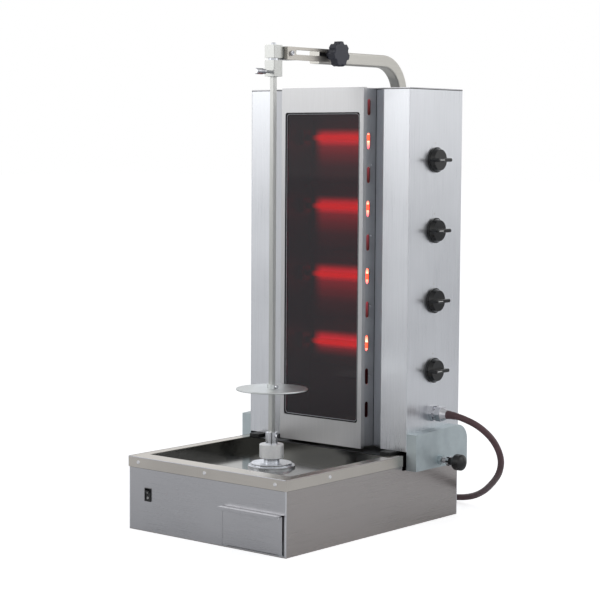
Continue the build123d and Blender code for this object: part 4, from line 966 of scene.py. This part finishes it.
def printed_ring(name, width, line, body, place):
    deselect()
    bpy.ops.mesh.primitive_cylinder_add(
        vertices=32, radius=width / 2, depth=PRINT_T, location=(0, 0, PRINT_T / 2)
    )
    ring = bpy.context.object
    bpy.ops.object.transform_apply(location=True)
    if line:
        select_faces(ring, lambda centre, normal: abs(normal.z) > 0.9)
        bpy.ops.mesh.inset(thickness=line)
        bpy.ops.mesh.delete(type="FACE")
        bpy.ops.mesh.select_mode(type="EDGE")
        mesh = bmesh.from_edit_mesh(ring.data)
        for edge in mesh.edges:
            edge.select_set(edge.is_boundary)
        bmesh.update_edit_mesh(ring.data)
        bpy.ops.mesh.bridge_edge_loops()
        bpy.ops.mesh.select_all(action="SELECT")
        bpy.ops.mesh.normals_make_consistent(inside=False)
    return complete(ring, name, body, marking_white, place)


for number in range(1, 5):
    knob_low, knob_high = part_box(f"heat_knob_{number}")
    knob_y = (knob_low.y + knob_high.y) / 2
    knob_z = (knob_low.z + knob_high.z) / 2
    line_place = Matrix.Translation((knob_high.x - 0.05 * MM, knob_y - 11 * MM, knob_z))
    line_place = line_place @ Matrix.Rotation(pi / 2, 4, "Y")
    printed_bar(f"knob_line_{number}", 1.6 * MM, 15 * MM, f"knob_{number}", line_place)
    dot_place = facing((column_high.x, knob_y, knob_z + 33 * MM), (1, 0, 0))
    printed_ring(f"panel_dot_{number}", 3.4 * MM, 0, "head", dot_place)
paddle_low, paddle_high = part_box("rocker_paddle")
paddle_x = (paddle_low.x + paddle_high.x) / 2
TILT = radians(8)
PIVOT_Y, PIVOT_Z = -0.264, 0.0728
FACE_OUT = 6.6
FACE_DROP, FACE_RUN = 2.2, 10.0
face_lean = atan2(FACE_DROP, FACE_RUN)
pivot = Vector((paddle_x, PIVOT_Y, PIVOT_Z))
rocked = Matrix.Translation(pivot) @ Matrix.Rotation(TILT, 4, "X")
for name, level, shape in (("on_bar", 5.2, "bar"), ("off_ring", -5.2, "ring")):
    lean = face_lean if level > 0 else -face_lean
    out = FACE_OUT + abs(level) * FACE_DROP / FACE_RUN
    spot = Matrix.Translation((0, -out * MM, level * MM))
    outward = Matrix.Rotation(pi / 2 + lean, 4, "X")
    place = rocked @ spot @ outward
    if shape == "bar":
        printed_bar(name, 1.0 * MM, 4.0 * MM, "rocker", place)
    else:
        printed_ring(name, 4.2 * MM, 0.9 * MM, "rocker", place)
print("marks printed")

# %% [markdown]
# ## Threads
# The clamp screws show a few turns of bright thread between the bracket and the knob. Ridges a pitch
# apart are drawn as a zigzag profile, and the profile is spun round the screw's axis.

# %% Spin the threads
PITCH = 1.75 * MM


def thread(name, spot, direction, length, radius, body, material):
    turns = int(length / PITCH)
    profile = [(radius - 0.2 * MM, 0.0)]
    for ridge in range(turns):
        profile.append((radius + 0.3 * MM, (ridge + 0.5) * PITCH))
        profile.append((radius - 0.2 * MM, (ridge + 1.0) * PITCH))
    data = bpy.data.meshes.new(name)
    data.from_pydata([(r, 0, z) for r, z in profile], [(i, i + 1) for i in range(len(profile) - 1)], [])
    piece = bpy.data.objects.new(name, data)
    bpy.context.scene.collection.objects.link(piece)
    deselect()
    piece.select_set(True)
    bpy.context.view_layer.objects.active = piece
    bpy.ops.object.mode_set(mode="EDIT")
    bpy.ops.mesh.select_all(action="SELECT")
    bpy.ops.mesh.spin(steps=28, angle=2 * pi, center=(0, 0, 0), axis=(0, 0, 1))
    bpy.ops.mesh.select_all(action="SELECT")
    bpy.ops.mesh.remove_doubles(threshold=0.00001)
    bpy.ops.mesh.select_all(action="DESELECT")
    bpy.ops.mesh.select_non_manifold()
    bpy.ops.mesh.edge_face_add()
    bpy.ops.mesh.select_all(action="SELECT")
    bpy.ops.mesh.normals_make_consistent(inside=False)
    return complete(piece, name, body, material, facing(spot, direction))


clamp_low, clamp_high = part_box("clamp_knob_right")
bracket_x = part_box("bracket_right")[1].x
clamp_y = (clamp_low.y + clamp_high.y) / 2
clamp_z = (clamp_low.z + clamp_high.z) / 2
for side, sign in (("right", 1), ("left", -1)):
    thread(
        f"clamp_thread_{side}", (sign * (bracket_x + 0.3 * MM), clamp_y, clamp_z), (sign, 0, 0),
        11 * MM, 5 * MM, f"clamp_{side}", nickel,
    )
print("threads spun")

# %% [markdown]
# ## Room and light
# The grill stands on a pale counter in a white room. Two large soft lamps light it: one at the left, in
# front, and one at the right, behind. The room is white to the camera and in reflections, so the steel
# has something plain to mirror, but it gives less light than it shows. Its ceiling is a little darker.

# %% Build the floor and the lights
FLOOR_LIFT = 0.6
deselect()
bpy.ops.mesh.primitive_plane_add(size=60)
floor = bpy.context.object
floor.name = "floor"
floor_finish, floor_tree, floor_surface = new_material("floor_pale_matt", Roughness=0.9)
floor_surface.inputs["Base Color"].default_value = linear("#f4f4f4")
floor_surface.inputs["Specular IOR Level"].default_value = 0.0
floor_surface.inputs["Emission Color"].default_value = linear("#ffffff")
shown = add_node(floor_tree, "ShaderNodeLightPath")
direct = maths(floor_tree, "MULTIPLY", shown.outputs["Is Camera Ray"], FLOOR_LIFT)
floor_tree.links.new(direct, floor_surface.inputs["Emission Strength"])
floor.data.materials.append(floor_finish)


def soft_lamp(name, place, aim, size, power):
    lamp = bpy.data.objects.new(name, bpy.data.lights.new(name, "AREA"))
    lamp.data.shape = "SQUARE"
    lamp.data.size = size
    lamp.data.energy = power
    lamp.location = place
    lamp.rotation_euler = (Vector(aim) - Vector(place)).to_track_quat("-Z", "Y").to_euler()
    bpy.context.scene.collection.objects.link(lamp)
    return lamp


soft_lamp("front_lamp", (-2.2, -2.7, 1.75), (0, 0, 0.5), 1.8, 14)
soft_lamp("side_lamp", (2.6, 1.6, 2.0), (0, 0, 0.5), 1.8, 20)

world = bpy.data.worlds.new("white_room")
bpy.context.scene.world = world
world.use_nodes = True
sky = world.node_tree
sky.nodes.clear()
seen = add_node(sky, "ShaderNodeLightPath")
plain = add_node(sky, "ShaderNodeBackground", {"Color": linear("#ffffff"), "Strength": 1.0})
direction = add_node(sky, "ShaderNodeTexCoord").outputs["Generated"]
height = add_node(sky, "ShaderNodeSeparateXYZ", Vector=direction).outputs["Z"]
sky.links.new(ranged(sky, height, 0.35, 0.8, 1.0, 0.6), plain.inputs["Strength"])
soft = add_node(sky, "ShaderNodeBackground", {"Color": linear("#f2f4f8"), "Strength": 0.55})
looks = maths(sky, "MAXIMUM", seen.outputs["Is Camera Ray"], seen.outputs["Is Glossy Ray"])
passes = maths(sky, "MAXIMUM", looks, seen.outputs["Is Transmission Ray"])
pick = add_node(sky, "ShaderNodeMixShader", Fac=passes)
sky.links.new(soft.outputs["Background"], pick.inputs[1])
sky.links.new(plain.outputs["Background"], pick.inputs[2])
add_node(sky, "ShaderNodeOutputWorld", Surface=pick.outputs["Shader"])
bpy.context.scene.view_settings.view_transform = "Standard"
print("lights placed")
